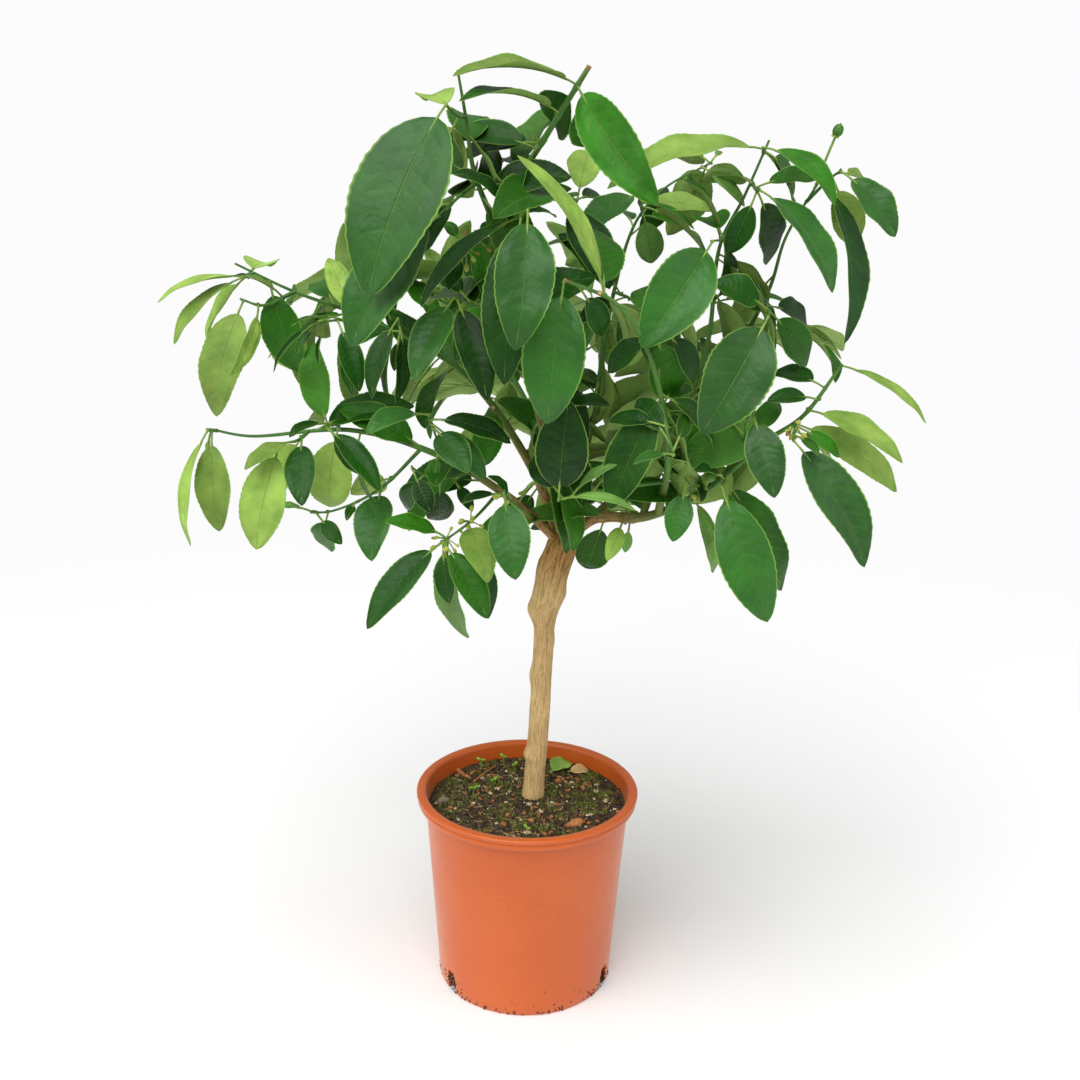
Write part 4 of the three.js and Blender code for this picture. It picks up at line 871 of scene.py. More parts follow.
        Leaf(0.42, (0.105, -0.04, 0.125), 0.5, 0, 40, DARK),
        Leaf(0.7, (0.12, -0.06, 0.135), 0.42, 0, 40, DARK),
        Leaf(0.28, (0.165, -0.02, 0.125), 0.42, 0, 40, MID),
    ]),
    shoot("shoot_right_drop", "limb_right", 0.54,
          [(0.12, -0.06, 0.07), (0.115, -0.08, 0.07)], [
        Leaf(1, (0.15, -0.11, -0.025), 0.42, -10, 15, GLOSS_AND_PAINTED_SHEEN),
        Leaf(0.62, (0.095, -0.09, 0.085), 0.5, 0, 60, DARK),
        Leaf(0.1, (0.18, -0.02, -0.03), 0.34, 30, 10, MID),
        Leaf(0.42, (0.13, -0.04, 0), 0.36, 20, 20, MID),
    ]),
    shoot("shoot_right_low", "limb_right", 0.43,
          [(0.095, -0.06, 0.065), (0.09, -0.07, 0.07)], [
        Leaf(1, (0.08, -0.09, 0.03), 0.6, -5, 15, GLOSS_AND_PAINTED_SHEEN),
        Leaf(0.3, (0.125, -0.01, -0.02), 0.2, 20, 20, PALE),
        Leaf(0.6, (0.075, -0.03, 0.085), 0.5, 0, 40, DARK),
    ]),
    shoot("shoot_back_fine", "limb_back", 0.83,
          [(0.055, 0.04, 0.27), (0.055, 0.02, 0.275)], [
        Leaf(1, (0.005, -0.02, 0.245), 0.42, -20, 35, GLOSS_AND_PAINTED_SHEEN),
        Leaf(0.22, (0.11, 0.02, 0.265), 0.4, 0, 40, YOUNG),
        Leaf(0.38, (0.095, 0.01, 0.25), 0.16, 0, 70, MID),
        Leaf(0, (0.07, 0.07, 0.22), 0.6, 0, 10, PALE),
    ]),
    shoot("shoot_back_low", "limb_back", 0.64,
          [(0.05, 0.04, 0.195), (0.055, 0.01, 0.19)], [
        Leaf(0.16, (-0.005, 0.04, 0.245), 0.5, 0, 40, DARK),
        Leaf(0.86, (0.04, -0.01, 0.165), 0.5, 0, 20, DARK),
        Leaf(0.54, (0.1, 0.05, 0.17), 0.5, 0, 40, DARK),
        Leaf(0.4, (0.01, 0.06, 0.175), 0.5, 0, 30, DARK),
    ]),
    shoot("shoot_far_left", "limb_back_left", 0.95,
          [(-0.15, 0.125, 0.205), (-0.175, 0.135, 0.2)]),
    shoot("shoot_far_left_low", "limb_back_left", 0.6,
          [(-0.075, 0.16, 0.12), (-0.095, 0.185, 0.1)]),
    shoot("shoot_far_top", "limb_back_left", 0.8,
          [(-0.06, 0.12, 0.205), (-0.04, 0.125, 0.24)]),
    shoot("shoot_far_middle", "limb_back", 0.45,
          [(0.03, 0.125, 0.17), (0.025, 0.165, 0.18)]),
    shoot("shoot_far_right", "limb_back_right", 0.95,
          [(0.185, 0.145, 0.165), (0.21, 0.14, 0.16)]),
    shoot("shoot_far_right_low", "limb_back_right", 0.6,
          [(0.11, 0.17, 0.09), (0.12, 0.195, 0.08)]),
]


# ---------------------------------------------------------------- effects shared by finishes


def make_vein_group():
    """Veins, midrib, margin and puckered relief of a blade, from its place values."""
    tree, given, out = node_group(
        "blade_pattern",
        {"Side Veins": (NUMBER, 9.0), "Slant": (NUMBER, 0.9)},
        {"Veins": NUMBER, "Midrib": NUMBER, "Margin": NUMBER, "Under": NUMBER, "Height": NUMBER})
    along, across, under = point_values(tree, "place")
    from_middle = calc(tree, "ABSOLUTE", across)
    wander = calc(tree, "MULTIPLY_ADD", cloudy(tree, 90.0, 2.0), 0.5, -0.25)
    forward = calc(tree, "POWER", from_middle, 1.35)
    lean = calc(tree, "DIVIDE", calc(tree, "MULTIPLY", forward, given["Slant"]), 6.0)
    phase = calc(tree, "MULTIPLY_ADD", calc(tree, "SUBTRACT", along, lean), given["Side Veins"], wander)
    from_vein = calc(tree, "PINGPONG", phase, 0.5)
    lines = fade(tree, from_vein, 0.0, 0.09, 1.0, 0.0)
    thin_out = fade(tree, from_middle, 0.55, 0.95, 1.0, 0.0)
    veins = calc(tree, "MULTIPLY", lines, thin_out)
    midrib = fade(tree, from_middle, 0.008, 0.035, 1.0, 0.0)
    feed(tree, out["Veins"], veins)
    feed(tree, out["Midrib"], midrib)
    feed(tree, out["Margin"], fade(tree, from_middle, 0.93, 0.985))
    feed(tree, out["Under"], under)
    pillows = calc(tree, "MULTIPLY", fade(tree, from_vein, 0.0, 0.5), 0.14)
    crumple = calc(tree, "MULTIPLY_ADD", cloudy(tree, 85.0, 3.0), 1.6, pillows)
    dents = calc(tree, "MULTIPLY_ADD", midrib, -0.9, calc(tree, "MULTIPLY", crumple, thin_out))
    pores = calc(tree, "MULTIPLY_ADD", cloudy(tree, 2600.0, 1.0), 0.12, dents)
    feed(tree, out["Height"], pores)
    return tree


def make_mottle_group():
    """A colour that drifts between two others in soft patches with finer flecks over them."""
    tree, given, out = node_group(
        "mottle",
        {"First": (COLOUR, (0.5, 0.5, 0.5, 1.0)), "Second": (COLOUR, (0.2, 0.2, 0.2, 1.0)),
         "Patches": (NUMBER, 40.0), "Flecks": (NUMBER, 600.0)},
        {"Color": COLOUR, "Value": NUMBER})
    patches = fade(tree, cloudy(tree, given["Patches"]), 0.35, 0.65)
    flecks = fade(tree, cloudy(tree, given["Flecks"], 2.0), 0.45, 0.7)
    value = calc(tree, "MULTIPLY_ADD", flecks, 0.35, calc(tree, "MULTIPLY", patches, 0.65))
    feed(tree, out["Color"], mix(tree, value, given["First"], given["Second"]))
    feed(tree, out["Value"], value)
    return tree


def make_bark_group():
    """Fine lengthwise cracks round a stem, from its place values."""
    tree, given, out = node_group(
        "bark_lines",
        {"Round": (NUMBER, 6.0), "Along": (NUMBER, 40.0)},
        {"Cracks": NUMBER, "Height": NUMBER})
    along, cosine, sine = point_values(tree, "place")
    sideways = calc(tree, "MULTIPLY", cosine, given["Round"])
    forward = calc(tree, "MULTIPLY", sine, given["Round"])
    upward = calc(tree, "MULTIPLY", along, given["Along"])
    where = put(tree, "ShaderNodeCombineXYZ", X=sideways, Y=forward, Z=upward).outputs["Vector"]
    coarse = put(tree, "ShaderNodeTexNoise", Vector=where, Scale=1.0, Detail=4.0,
                 Roughness=0.65).outputs["Fac"]
    fine = put(tree, "ShaderNodeTexNoise", Vector=where, Scale=3.1, Detail=3.0,
               Roughness=0.6).outputs["Fac"]
    both = calc(tree, "MULTIPLY_ADD", fine, 0.4, calc(tree, "MULTIPLY", coarse, 0.6))
    feed(tree, out["Cracks"], fade(tree, both, 0.43, 0.53, 1.0, 0.0))
    feed(tree, out["Height"], both)
    return tree


# ---------------------------------------------------------------- finishes


def leaf_finish(tree_settings, groups):
    """Leathery blades: young, grown or old by tone, paler and matt underneath, with fine veins. Glossy
    blades get a painted sheen, and new growth and undersides are painted lighter as light shining through.
    """
    material, tree, surface = new_finish("lime_leaf", Specular_IOR_Level=0.26)
    tone, gloss_and_painted_sheen, seed = point_values(tree, "looks")
    pattern = use_group(tree, groups["veins"])
    pale = srgb(112, 160, 78)
    # New growth takes the new leaf colour, which is lightened with painted light shining through.
    body = ramp(tree, tone, [(0.0, tree_settings.new_leaf), (0.22, pale),
                             (0.6, tree_settings.grown_leaf), (1.0, tree_settings.old_leaf)])
    patches = fade(tree, cloudy(tree, 38.0, 3.0), 0.25, 0.75, 0.74, 1.26)
    lively = calc(tree, "MULTIPLY", patches, fade(tree, seed, 0.0, 1.0, 0.62, 1.34))
    body = put(tree, "ShaderNodeHueSaturation", Value=lively, Color=body).outputs["Color"]
    greener = calc(tree, "MULTIPLY", fade(tree, cloudy(tree, 60.0, 3.0), 0.35, 0.70), 0.36)
    body = mix(tree, calc(tree, "MULTIPLY", greener, fade(tree, tone, 0.0, 0.5, 1.0, 0.3)), body,
               srgb(84, 140, 40))
    # Painted sheen: glossy leaves are mixed a little towards a pale bluish green that stands for the bright
    # surround's reflection.
    body = mix(tree, calc(tree, "MULTIPLY", gloss_and_painted_sheen, 0.17), body, srgb(96, 146, 92))
    vein_colour = mix(tree, tone, srgb(190, 212, 110), srgb(92, 142, 62))
    body = mix(tree, calc(tree, "MULTIPLY", pattern["Veins"], 0.10), body, vein_colour)
    body = mix(tree, calc(tree, "MULTIPLY", pattern["Midrib"], 0.38), body, vein_colour)
    body = mix(tree, calc(tree, "MULTIPLY", pattern["Margin"], 0.75), body, srgb(140, 184, 76))
    # Painted light: the underside colours are set lighter than the real paler underside, to stand for light
    # shining through the blade.
    matt = mix(tree, calc(tree, "MULTIPLY", pattern["Veins"], 0.45), tree_settings.underside,
               srgb(182, 206, 134))
    matt = mix(tree, fade(tree, tone, 0.0, 1.0, 0.0, 0.36), matt, srgb(100, 146, 76))
    tree.links.new(mix(tree, pattern["Under"], body, matt), surface.inputs["Base Color"])
    shine = calc(tree, "MULTIPLY_ADD", gloss_and_painted_sheen, -0.12, fade(tree, tone, 0.0, 1.0, 0.46, 0.31))
    uneven = calc(tree, "MULTIPLY_ADD", cloudy(tree, 160.0, 2.0), 0.16, shine)
    rough = calc(tree, "MULTIPLY_ADD", pattern["Under"], 0.26, uneven)
    tree.links.new(rough, surface.inputs["Roughness"])
    relief(tree, surface, pattern["Height"], 1.5 * MM, 0.7)
    return material


def stalk_finish(groups):
    """Yellow-green leaf stalks and the raised ribs under the blades."""
    material, tree, surface = new_finish("leaf_stalk", Specular_IOR_Level=0.4)
    mottle = use_group(tree, groups["mottle"], First=srgb(150, 178, 76), Second=srgb(104, 146, 62),
                       Patches=120.0, Flecks=900.0)
    tree.links.new(mottle["Color"], surface.inputs["Base Color"])
    tree.links.new(fade(tree, mottle["Value"], 0.0, 1.0, 0.42, 0.58), surface.inputs["Roughness"])
    relief(tree, surface, mottle["Value"], 0.15 * MM, 0.5)
    return material


def stem_finish(groups):
    """Limbs and twigs: smooth green where they are young, brown and cracked where woody."""
    material, tree, surface = new_finish("green_stem", Specular_IOR_Level=0.4)
    wood, _, seed = point_values(tree, "looks")
    lines = use_group(tree, groups["bark"], Round=2.2, Along=120.0)
    mottle = use_group(tree, groups["mottle"], First=srgb(82, 138, 48), Second=srgb(50, 106, 30),
                       Patches=70.0, Flecks=700.0)
    green = mix(tree, calc(tree, "MULTIPLY", lines["Cracks"], 0.35), mottle["Color"],
                srgb(128, 150, 92))
    brown = mix(tree, lines["Cracks"], srgb(178, 142, 92), srgb(118, 88, 54))
    tree.links.new(mix(tree, wood, green, brown), surface.inputs["Base Color"])
    rough = calc(tree, "MULTIPLY_ADD", wood, 0.3, fade(tree, seed, 0.0, 1.0, 0.42, 0.5))
    tree.links.new(rough, surface.inputs["Roughness"])
    relief(tree, surface, lines["Height"], 0.5 * MM, 0.6)
    return material


def bark_finish(tree_settings, groups):
    """The trunk: tan bark with fine lengthwise cracks, browner towards the fork."""
    material, tree, surface = new_finish("striped_bark", Specular_IOR_Level=0.25)
    wood, _, _ = point_values(tree, "looks")
    lines = use_group(tree, groups["bark"], Round=6.0, Along=55.0)
    mottle = use_group(tree, groups["mottle"], First=tree_settings.bark, Second=srgb(208, 172, 114),
                       Patches=55.0, Flecks=420.0)
    tan = mix(tree, calc(tree, "MULTIPLY", lines["Cracks"], 0.5), mottle["Color"], srgb(136, 100, 56))
    brown = mix(tree, lines["Cracks"], srgb(186, 140, 84), srgb(122, 82, 44))
    tree.links.new(mix(tree, wood, tan, brown), surface.inputs["Base Color"])
    tree.links.new(fade(tree, lines["Height"], 0.3, 0.7, 0.92, 0.72), surface.inputs["Roughness"])
    relief(tree, surface, lines["Height"], 1.2 * MM, 0.8)
    return material


def plastic_finish(pot_settings, groups):
    """Satin terracotta plastic with faint drifts of colour, dust and soil splashed near the base."""
    material, tree, surface = new_finish("satin_terracotta", Specular_IOR_Level=0.5, Sheen_Weight=0.25,
                                         Sheen_Roughness=0.3, Sheen_Tint=(1.0, 0.8, 0.6, 1.0))
    mottle = use_group(tree, groups["mottle"], First=pot_settings.plastic, Second=srgb(200, 90, 30),
                       Patches=14.0, Flecks=500.0)
    place = put(tree, "ShaderNodeTexCoord").outputs["Object"]
    height = put(tree, "ShaderNodeSeparateXYZ", Vector=place).outputs["Z"]
    low = fade(tree, height, 0.002, 0.055, 1.0, 0.0)
    splashes = fade(tree, cloudy(tree, 260.0, 2.0), 0.70, 0.74)
    dirt = calc(tree, "MULTIPLY", splashes, calc(tree, "MULTIPLY", low, 0.8))
    dust = calc(tree, "MULTIPLY", fade(tree, cloudy(tree, 900.0, 1.0), 0.74, 0.80), 0.35)
    dusty = mix(tree, dust, mottle["Color"], srgb(240, 190, 160))
    tree.links.new(mix(tree, dirt, dusty, srgb(86, 48, 30)), surface.inputs["Base Color"])
    smooth = fade(tree, cloudy(tree, 25.0, 3.0), 0.3, 0.7, 0.26, 0.36)
    tree.links.new(calc(tree, "MULTIPLY_ADD", dirt, 0.4, smooth), surface.inputs["Roughness"])
    relief(tree, surface, cloudy(tree, 320.0, 1.0), 0.03 * MM, 0.25)
    return material


def mottled_finish(name, groups, first, second, patches, flecks, rough, depth):
    """A plain natural finish: two colours in patches and flecks, with relief to match."""
    material, tree, surface = new_finish(name, Specular_IOR_Level=0.3)
    mottle = use_group(tree, groups["mottle"], First=first, Second=second, Patches=patches,
                       Flecks=flecks)
    tree.links.new(mottle["Color"], surface.inputs["Base Color"])
    tree.links.new(fade(tree, mottle["Value"], 0.0, 1.0, rough, rough + 0.12),
                   surface.inputs["Roughness"])
    relief(tree, surface, mottle["Value"], depth, 0.7)
    return material


def dry_blade_finish(groups):
    """A dead leaf: tan, with darker veins."""
    material, tree, surface = new_finish("dry_blade", Specular_IOR_Level=0.25)
    pattern = use_group(tree, groups["veins"])
    mottle = use_group(tree, groups["mottle"], First=srgb(228, 194, 140), Second=srgb(190, 144, 90),
                       Patches=120.0, Flecks=800.0)
    veined = mix(tree, pattern["Veins"], mottle["Color"], srgb(120, 80, 44))
    tree.links.new(veined, surface.inputs["Base Color"])
    tree.links.new(fade(tree, mottle["Value"], 0.0, 1.0, 0.7, 0.85), surface.inputs["Roughness"])
    relief(tree, surface, pattern["Height"], 0.6 * MM, 0.8)
    return material


def make_finishes(scene):
    """Every finish by name, each made once."""
    if "lime_leaf" in bpy.data.materials:
        return {material.name: material for material in bpy.data.materials}
    groups = {"veins": make_vein_group(), "mottle": make_mottle_group(), "bark": make_bark_group()}
    leaf_finish(scene.lime_tree, groups)
    stalk_finish(groups)
    stem_finish(groups)
    bark_finish(scene.lime_tree, groups)
    plastic_finish(scene.lime_pot, groups)
    dry_blade_finish(groups)
    plain = [
        ("dark_compost", srgb(92, 76, 54), srgb(34, 27, 20), 220.0, 1400.0, 0.82, 1.2 * MM),
        ("brown_crumb", srgb(84, 60, 38), srgb(40, 28, 18), 260.0, 1500.0, 0.8, 0.6 * MM),
        ("bark_scrap", srgb(196, 132, 78), srgb(122, 76, 42), 200.0, 1100.0, 0.75, 0.6 * MM),
        ("perlite", srgb(236, 232, 222), srgb(200, 194, 178), 400.0, 2500.0, 0.8, 0.4 * MM),
        ("moss", srgb(128, 136, 58), srgb(58, 74, 30), 300.0, 2200.0, 0.75, 0.5 * MM),
        ("seedling", srgb(146, 190, 64), srgb(108, 152, 48), 200.0, 1500.0, 0.5, 0.2 * MM),
        ("root_fibre", srgb(206, 176, 124), srgb(150, 114, 68), 300.0, 1800.0, 0.75, 0.2 * MM),
        ("dry_tuft", srgb(236, 224, 196), srgb(204, 180, 136), 400.0, 2200.0, 0.8, 0.2 * MM),
        ("pebble_grey", srgb(134, 120, 100), srgb(86, 74, 60), 180.0, 1200.0, 0.7, 0.5 * MM),
        ("lime_fruit", srgb(88, 142, 52), srgb(58, 108, 38), 150.0, 1700.0, 0.36, 0.35 * MM),
        ("yellow_bud", srgb(206, 206, 96), srgb(168, 184, 74), 250.0, 1500.0, 0.5, 0.2 * MM),
        ("brown_bud", srgb(176, 158, 84), srgb(142, 112, 62), 250.0, 1500.0, 0.5, 0.2 * MM),
        ("cut_wood", srgb(224, 200, 144), srgb(200, 166, 106), 400.0, 2600.0, 0.75, 0.2 * MM),
    ]
    for name, first, second, patches, flecks, rough, depth in plain:
        mottled_finish(name, groups, first, second, patches, flecks, rough, depth)
    return {material.name: material for material in bpy.data.materials}


# ---------------------------------------------------------------- where the pot and the tree stand


def wall_radius(pot, height):
    """Outside radius of the pot's tapered wall at a height."""
    share = height / (pot.height - pot.lip_depth)
    return pot.base_radius + (pot.shoulder_radius - pot.base_radius) * share


def soil_level(pot):
    """Height of the compost at the wall."""
    return pot.height - pot.soil_drop


def soil_edge(pot):
    """Radius at which the compost meets the inside of the wall."""
    return wall_radius(pot, soil_level(pot)) - pot.wall


def soil_top(pot, radius):
    """Height of the compost surface at a distance from the pot's axis."""
    share = min(radius / soil_edge(pot), 1.0)
    return soil_level(pot) + pot.soil_mound * math.cos(math.pi / 2 * share) ** 2


def around(radius, angle, height):
    """A point at a distance and an angle round the pot, measured from the front to the right."""
    return np.array([radius * math.sin(angle), -radius * math.cos(angle), height])


def trunk_curve():
    """The trunk's line: from inside the compost, with a slow bend, to the fork."""
    foot = np.array(TRUNK_FOOT)
    ways = [(-1 * MM, -ROOT_DEPTH)] + [(lean * TRUNK_LEAN, rise * TRUNK_HEIGHT) for lean, rise in TRUNK_BEND]
    return Curve([foot + np.array([aside, 0.0, up]) for aside, up in ways])


class Crown:
    """The curves and thicknesses of every branch, and the leaves that settled on them."""

    def __init__(self, tree):
        self.tree = tree
        self.curves = {"trunk": trunk_curve()}
        self.rows = {row.name: row for row in BRANCHES}
        for row in BRANCHES:
            start = self.curves[row.parent].at(row.at)
            self.curves[row.name] = Curve([start] + [np.array(FORK) + np.array(way) for way in row.path])

    def radius(self, name, share):
        """Radius of a branch at a share of its length."""
        if name == "trunk":
            return self.tree.fork_radius
        row = self.rows[name]
        return row.root + (row.tip - row.root) * share

    def spot(self, name, share):
        """The point of a branch at a share of what shows of it outside its parent."""
        row = self.rows[name]
        curve = self.curves[name]
        hidden = (self.radius(row.parent, row.at) + BARE_STEM) / curve.length
        return curve.at(hidden + (1.0 - hidden) * share)

    def settled(self, name, base, tip):
        """Where a leaf's tip came to rest in the CAD model, after it swung clear of its neighbours."""
        mesh = frame["nodes"][name].data
        points = np.empty(len(mesh.vertices) * 3)
        mesh.vertices.foreach_get("co", points)
        points = points.reshape(-1, 3)
        off = np.abs(np.linalg.norm(points - base, axis=1) - np.linalg.norm(tip - base))
        near = points[off < TIP_SLACK]
        if not len(near):
            raise ValueError(f"no CAD leaf of {name} has its tip near {tip}")
        return near[np.argmin(np.linalg.norm(near - tip, axis=1))]


def spiral_leaves(crown, name):
    """Leaves set round a twig by the golden angle, as on the far side of the crown."""
    count, reach = SPIRALS[name]
    row = crown.rows[name]
    root = crown.curves[row.parent].at(row.at) - np.array(FORK)
    outwards = unit(np.array([root[0], root[1], 0.0]))
    leaves = []
    for number in range(count):
        along = (number + 1) / count
        angle = math.radians(GOLDEN_ANGLE * number + 40 * len(row.path))
        heading = unit(np.array([math.sin(angle), math.cos(angle), -0.45])) + 0.5 * outwards
        longer = 0.85 + 0.3 * ((number * 2) % 3) / 2
        tip = crown.spot(name, along) - np.array(FORK) + unit(heading) * reach * longer
        turn = math.degrees(math.atan2(outwards[0], -outwards[1]))
        leaves.append(Leaf(along, tuple(tip), 0.46, turn, 60, MID))
    return leaves


# ---------------------------------------------------------------- leaves and stems


def facing(turn, tilt):
    """The direction an upper face looks: turn round the tree from the front, tilt up from level."""
    azimuth = math.radians(turn)
    rise = math.radians(tilt)
    level = math.cos(rise)
    return np.array([math.sin(azimuth) * level, -math.cos(azimuth) * level, math.sin(rise)])


def add_leaf(shape, tree, base, tip, leaf, rng, finish=1, stalk_finish=2, longest_stalk=0.45):
    """Add one leaf: a stalk that runs on as the rib under a thin, folded and gently waved blade."""
    span = tip - base
    length = np.linalg.norm(span)
    along = span / length
    up = facing(leaf.turn, leaf.tilt)
    up = unit(up - along * np.dot(up, along))
    side = np.cross(along, up)
    start = min(tree.stalk / length, longest_stalk)
    half_width = 0.5 * leaf.ratio * tree.leaf_width * length * (1 - start)
    seed = rng.random()
    waves = rng.uniform(1.3, 2.6)
    phases = rng.uniform(0, 2 * math.pi, 2)
    wave_depth = rng.uniform(0.03, 0.10)
    fold = tree.leaf_fold * rng.uniform(0.7, 1.5)
    droop = rng.uniform(0.02, 0.07) * length
    twist = rng.uniform(-0.3, 0.3)

    def middle(share):
        arch = tree.leaf_bow * length * 4 * share * (1 - share) * (1 - 0.35 * share)
        hang = -droop * smoothstep(share, 0.7, 1.0) ** 2
        return base + np.outer(share, span) + np.outer(arch + hang, up)

    blade = np.linspace(0.0, 1.0, BLADE_ROWS)
    across = np.linspace(-1.0, 1.0, BLADE_COLUMNS)
    outline = np.sin(math.pi * blade ** 0.88) ** 0.66
    teeth = 1 + TOOTH_DEPTH * (np.arange(BLADE_ROWS) % 2 - 0.5) * rng.uniform(0.1, 1.5, BLADE_ROWS)
    half = np.maximum(half_width * outline * teeth, 0.15 * MM)
    spine = middle(start + (1 - start) * blade)
    turn = twist * (blade - 0.3)
    right = np.outer(np.cos(turn), side) + np.outer(np.sin(turn), up)
    above = np.outer(np.cos(turn), up) - np.outer(np.sin(turn), side)
    edge = np.abs(across) ** 1.3
    wave = np.sin(2 * math.pi * waves * blade[:, None] + phases[(across > 0).astype(int)][None, :])
    lift = half[:, None] * (fold * edge[None, :] + wave_depth * wave * np.abs(across)[None, :] ** 2)
    top = spine[:, None, :] + right[:, None, :] * (half[:, None] * across[None, :])[:, :, None] \
        + above[:, None, :] * lift[:, :, None]
    under = top - above[:, None, :] * BLADE_THICKNESS
    count = BLADE_ROWS * BLADE_COLUMNS
    faces = grid_faces(BLADE_ROWS, BLADE_COLUMNS)
    faces += [tuple(corner + count for corner in face)
              for face in grid_faces(BLADE_ROWS, BLADE_COLUMNS, flip=True)]
    last = count - BLADE_COLUMNS
    border = list(range(BLADE_COLUMNS)) + list(range(2 * BLADE_COLUMNS - 1, count, BLADE_COLUMNS))
    border += list(range(count - 2, last - 1, -1)) + list(range(last - BLADE_COLUMNS, 0, -BLADE_COLUMNS))
    for here, beside in zip(border, border[1:] + border[:1]):
        faces.append((beside, here, here + count, beside + count))
    place = np.zeros((2, BLADE_ROWS, BLADE_COLUMNS, 3))
    place[..., 0] = blade[None, :, None]
    place[..., 1] = across[None, None, :]
    place[1, ..., 2] = UNDER
    # Glossy leaves get a lower roughness and a painted sheen in their colour.
    gloss_and_painted_sheen = 1.0 if leaf.tone == GLOSS_AND_PAINTED_SHEEN else 0.0
    shape.add(np.concatenate([top.reshape(-1, 3), under.reshape(-1, 3)]), faces, finish,
              place.reshape(-1, 3), (leaf.tone, gloss_and_painted_sheen, seed))

    shares = np.concatenate([np.linspace(0.0, start, 5), np.linspace(start, 0.96, 10)[1:]])
    blade_share = np.clip((shares - start) / (1 - start), 0.0, 1.0)
    radii = STALK_RADIUS * (1 - 0.72 * blade_share ** 0.7)
    radii[0] *= 1.45
    radii[4] *= 1.2
    rib = middle(shares) - np.outer(radii * 0.9 * smoothstep(shares, start * 0.9, start * 1.2), up)
    add_stem(shape, rib, radii, 6, stalk_finish, (0.0, 0.0, seed))


def add_branch(shape, crown, name, woody, nodes, rng):
    """Add a limb or twig: a tapered stem that swells a little where its leaves grow."""
    curve = crown.curves[name]
    row = crown.rows[name]
    steps = max(8, int(curve.length / STEM_STEP))
    shares = np.linspace(0.0, 1.0, steps + 1)
    radii = (row.root + (row.tip - row.root) * shares) * (1 - SLIMMER_TIP * shares)
    for node in nodes:
        radii *= 1 + NODE_SWELL * np.exp(-((shares - node) * curve.length / NODE_LENGTH) ** 2)
    wobble = rng.uniform(0, 100)
    radii *= np.array([1 + 0.06 * noise.noise(Vector((wobble, 0, share * curve.length * 90)))
                       for share in shares])
    centres = np.array([curve.at(share) for share in shares])
    sides = LIMB_SIDES if row.root > THICK_LIMB else TWIG_SIDES
    pruned = name in PRUNED_ENDS
    wood = woody(shares)
    if pruned:
        wood = np.maximum(wood, smoothstep(shares * curve.length, curve.length - 6 * MM, curve.length))
        add_blob(shape, centres[-1], curve.direction(1.0), 0.4 * MM, radii[-1] * 0.86, 3)
    add_stem(shape, centres, radii, sides, 0, (0.0, 0.0, rng.random()), wood, pruned=pruned)
    for scar in SCARS:
        if scar.branch == name:
            out = facing(scar.turn, 10)
            radius = np.interp(scar.at, shares, radii)
            foot = curve.at(scar.at) + out * (radius - 0.3 * MM)
            add_stem(shape, [foot, foot + out * 1.0 * MM], [scar.size, scar.size * 0.9], 12, 0,
                     woody=np.ones(2), pruned=True)
            add_blob(shape, foot + out * 1.1 * MM, out, 0.3 * MM, scar.size * 0.72, 3)
    for node in nodes:
        heading = curve.direction(node)
        out = unit(np.cross(heading, rng.normal(size=3)))
        radius = np.interp(node, shares, radii)
        add_blob(shape, curve.at(node) + out * radius * 1.05, heading * 2 + out, 1.6 * MM, 0.9 * MM, 0,
                 (0.15, 0.0, rng.random()), detail=4)


def woody_part(row):
    """How woody a branch is along its length: limbs are brown near the trunk, twigs are green."""
    if row.parent == "trunk":
        return lambda shares: 1 - smoothstep(shares, 0.12, 0.42)
    if row.root > THICK_LIMB:
        return lambda shares: 0.35 * (1 - smoothstep(shares, 0.0, 0.3))
    return lambda shares: np.zeros_like(shares)


def inside_heart(point):
    """Whether a point is in the dense inner part of the crown."""
    return np.linalg.norm((point - np.array(HEART)) / np.array(HEART_REACH)) < 1


def add_inner_leaves(shape, crown, row, rng):
    """Fill the inside and the back of the crown with leaves that hang between the named ones."""
    for _ in range(INNER_LEAVES.get(row.name, 0)):
        for _ in range(INNER_TRIES):
            share = rng.uniform(0.1, 1.0)
            base = crown.spot(row.name, share)
            away = unit(base - np.array(HEART))
            heading = unit(0.4 * away + rng.normal(size=3) * 0.8 + np.array([0.0, 0.3, -0.3]))
            tip = base + heading * rng.uniform(*INNER_LEAF_LENGTHS)
            if inside_heart(base) and inside_heart(tip):
                break
        else:
            continue
        turn = math.degrees(math.atan2(away[0], -away[1])) + rng.uniform(-50, 50)
        leaf = Leaf(share, (0, 0, 0), rng.uniform(0.42, 0.54), turn, rng.uniform(25, 70),
                    rng.uniform(0.45, 1.0))
        add_leaf(shape, crown.tree, base, tip, leaf, rng)


def build_branch(crown, name, finishes):
    """One limb or twig with its leaves, as one piece."""
    row = crown.rows[name]
    rng = np.random.default_rng(sum(ord(letter) * (place + 1) for place, letter in enumerate(name)))
    shape = Shape()
    leaves = row.leaves or (spiral_leaves(crown, name) if name in SPIRALS else [])
    curve = crown.curves[name]
    hidden = (crown.radius(row.parent, row.at) + BARE_STEM) / curve.length
    nodes = sorted({round(hidden + (1 - hidden) * leaf.along, 2) for leaf in leaves})
    add_branch(shape, crown, name, woody_part(row), nodes, rng)
    for leaf in leaves:
        base = crown.spot(name, leaf.along)
        tip = crown.settled(name, base, np.array(FORK) + np.array(leaf.tip))
        add_leaf(shape, crown.tree, base, tip, leaf, rng)
    add_inner_leaves(shape, crown, row, rng)
    made = shape.piece(f"{name}_grown",
                       [finishes[label] for label in ("green_stem", "lime_leaf", "leaf_stalk", "cut_wood")])
    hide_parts(name)
    return made


# ---------------------------------------------------------------- the pot and the compost


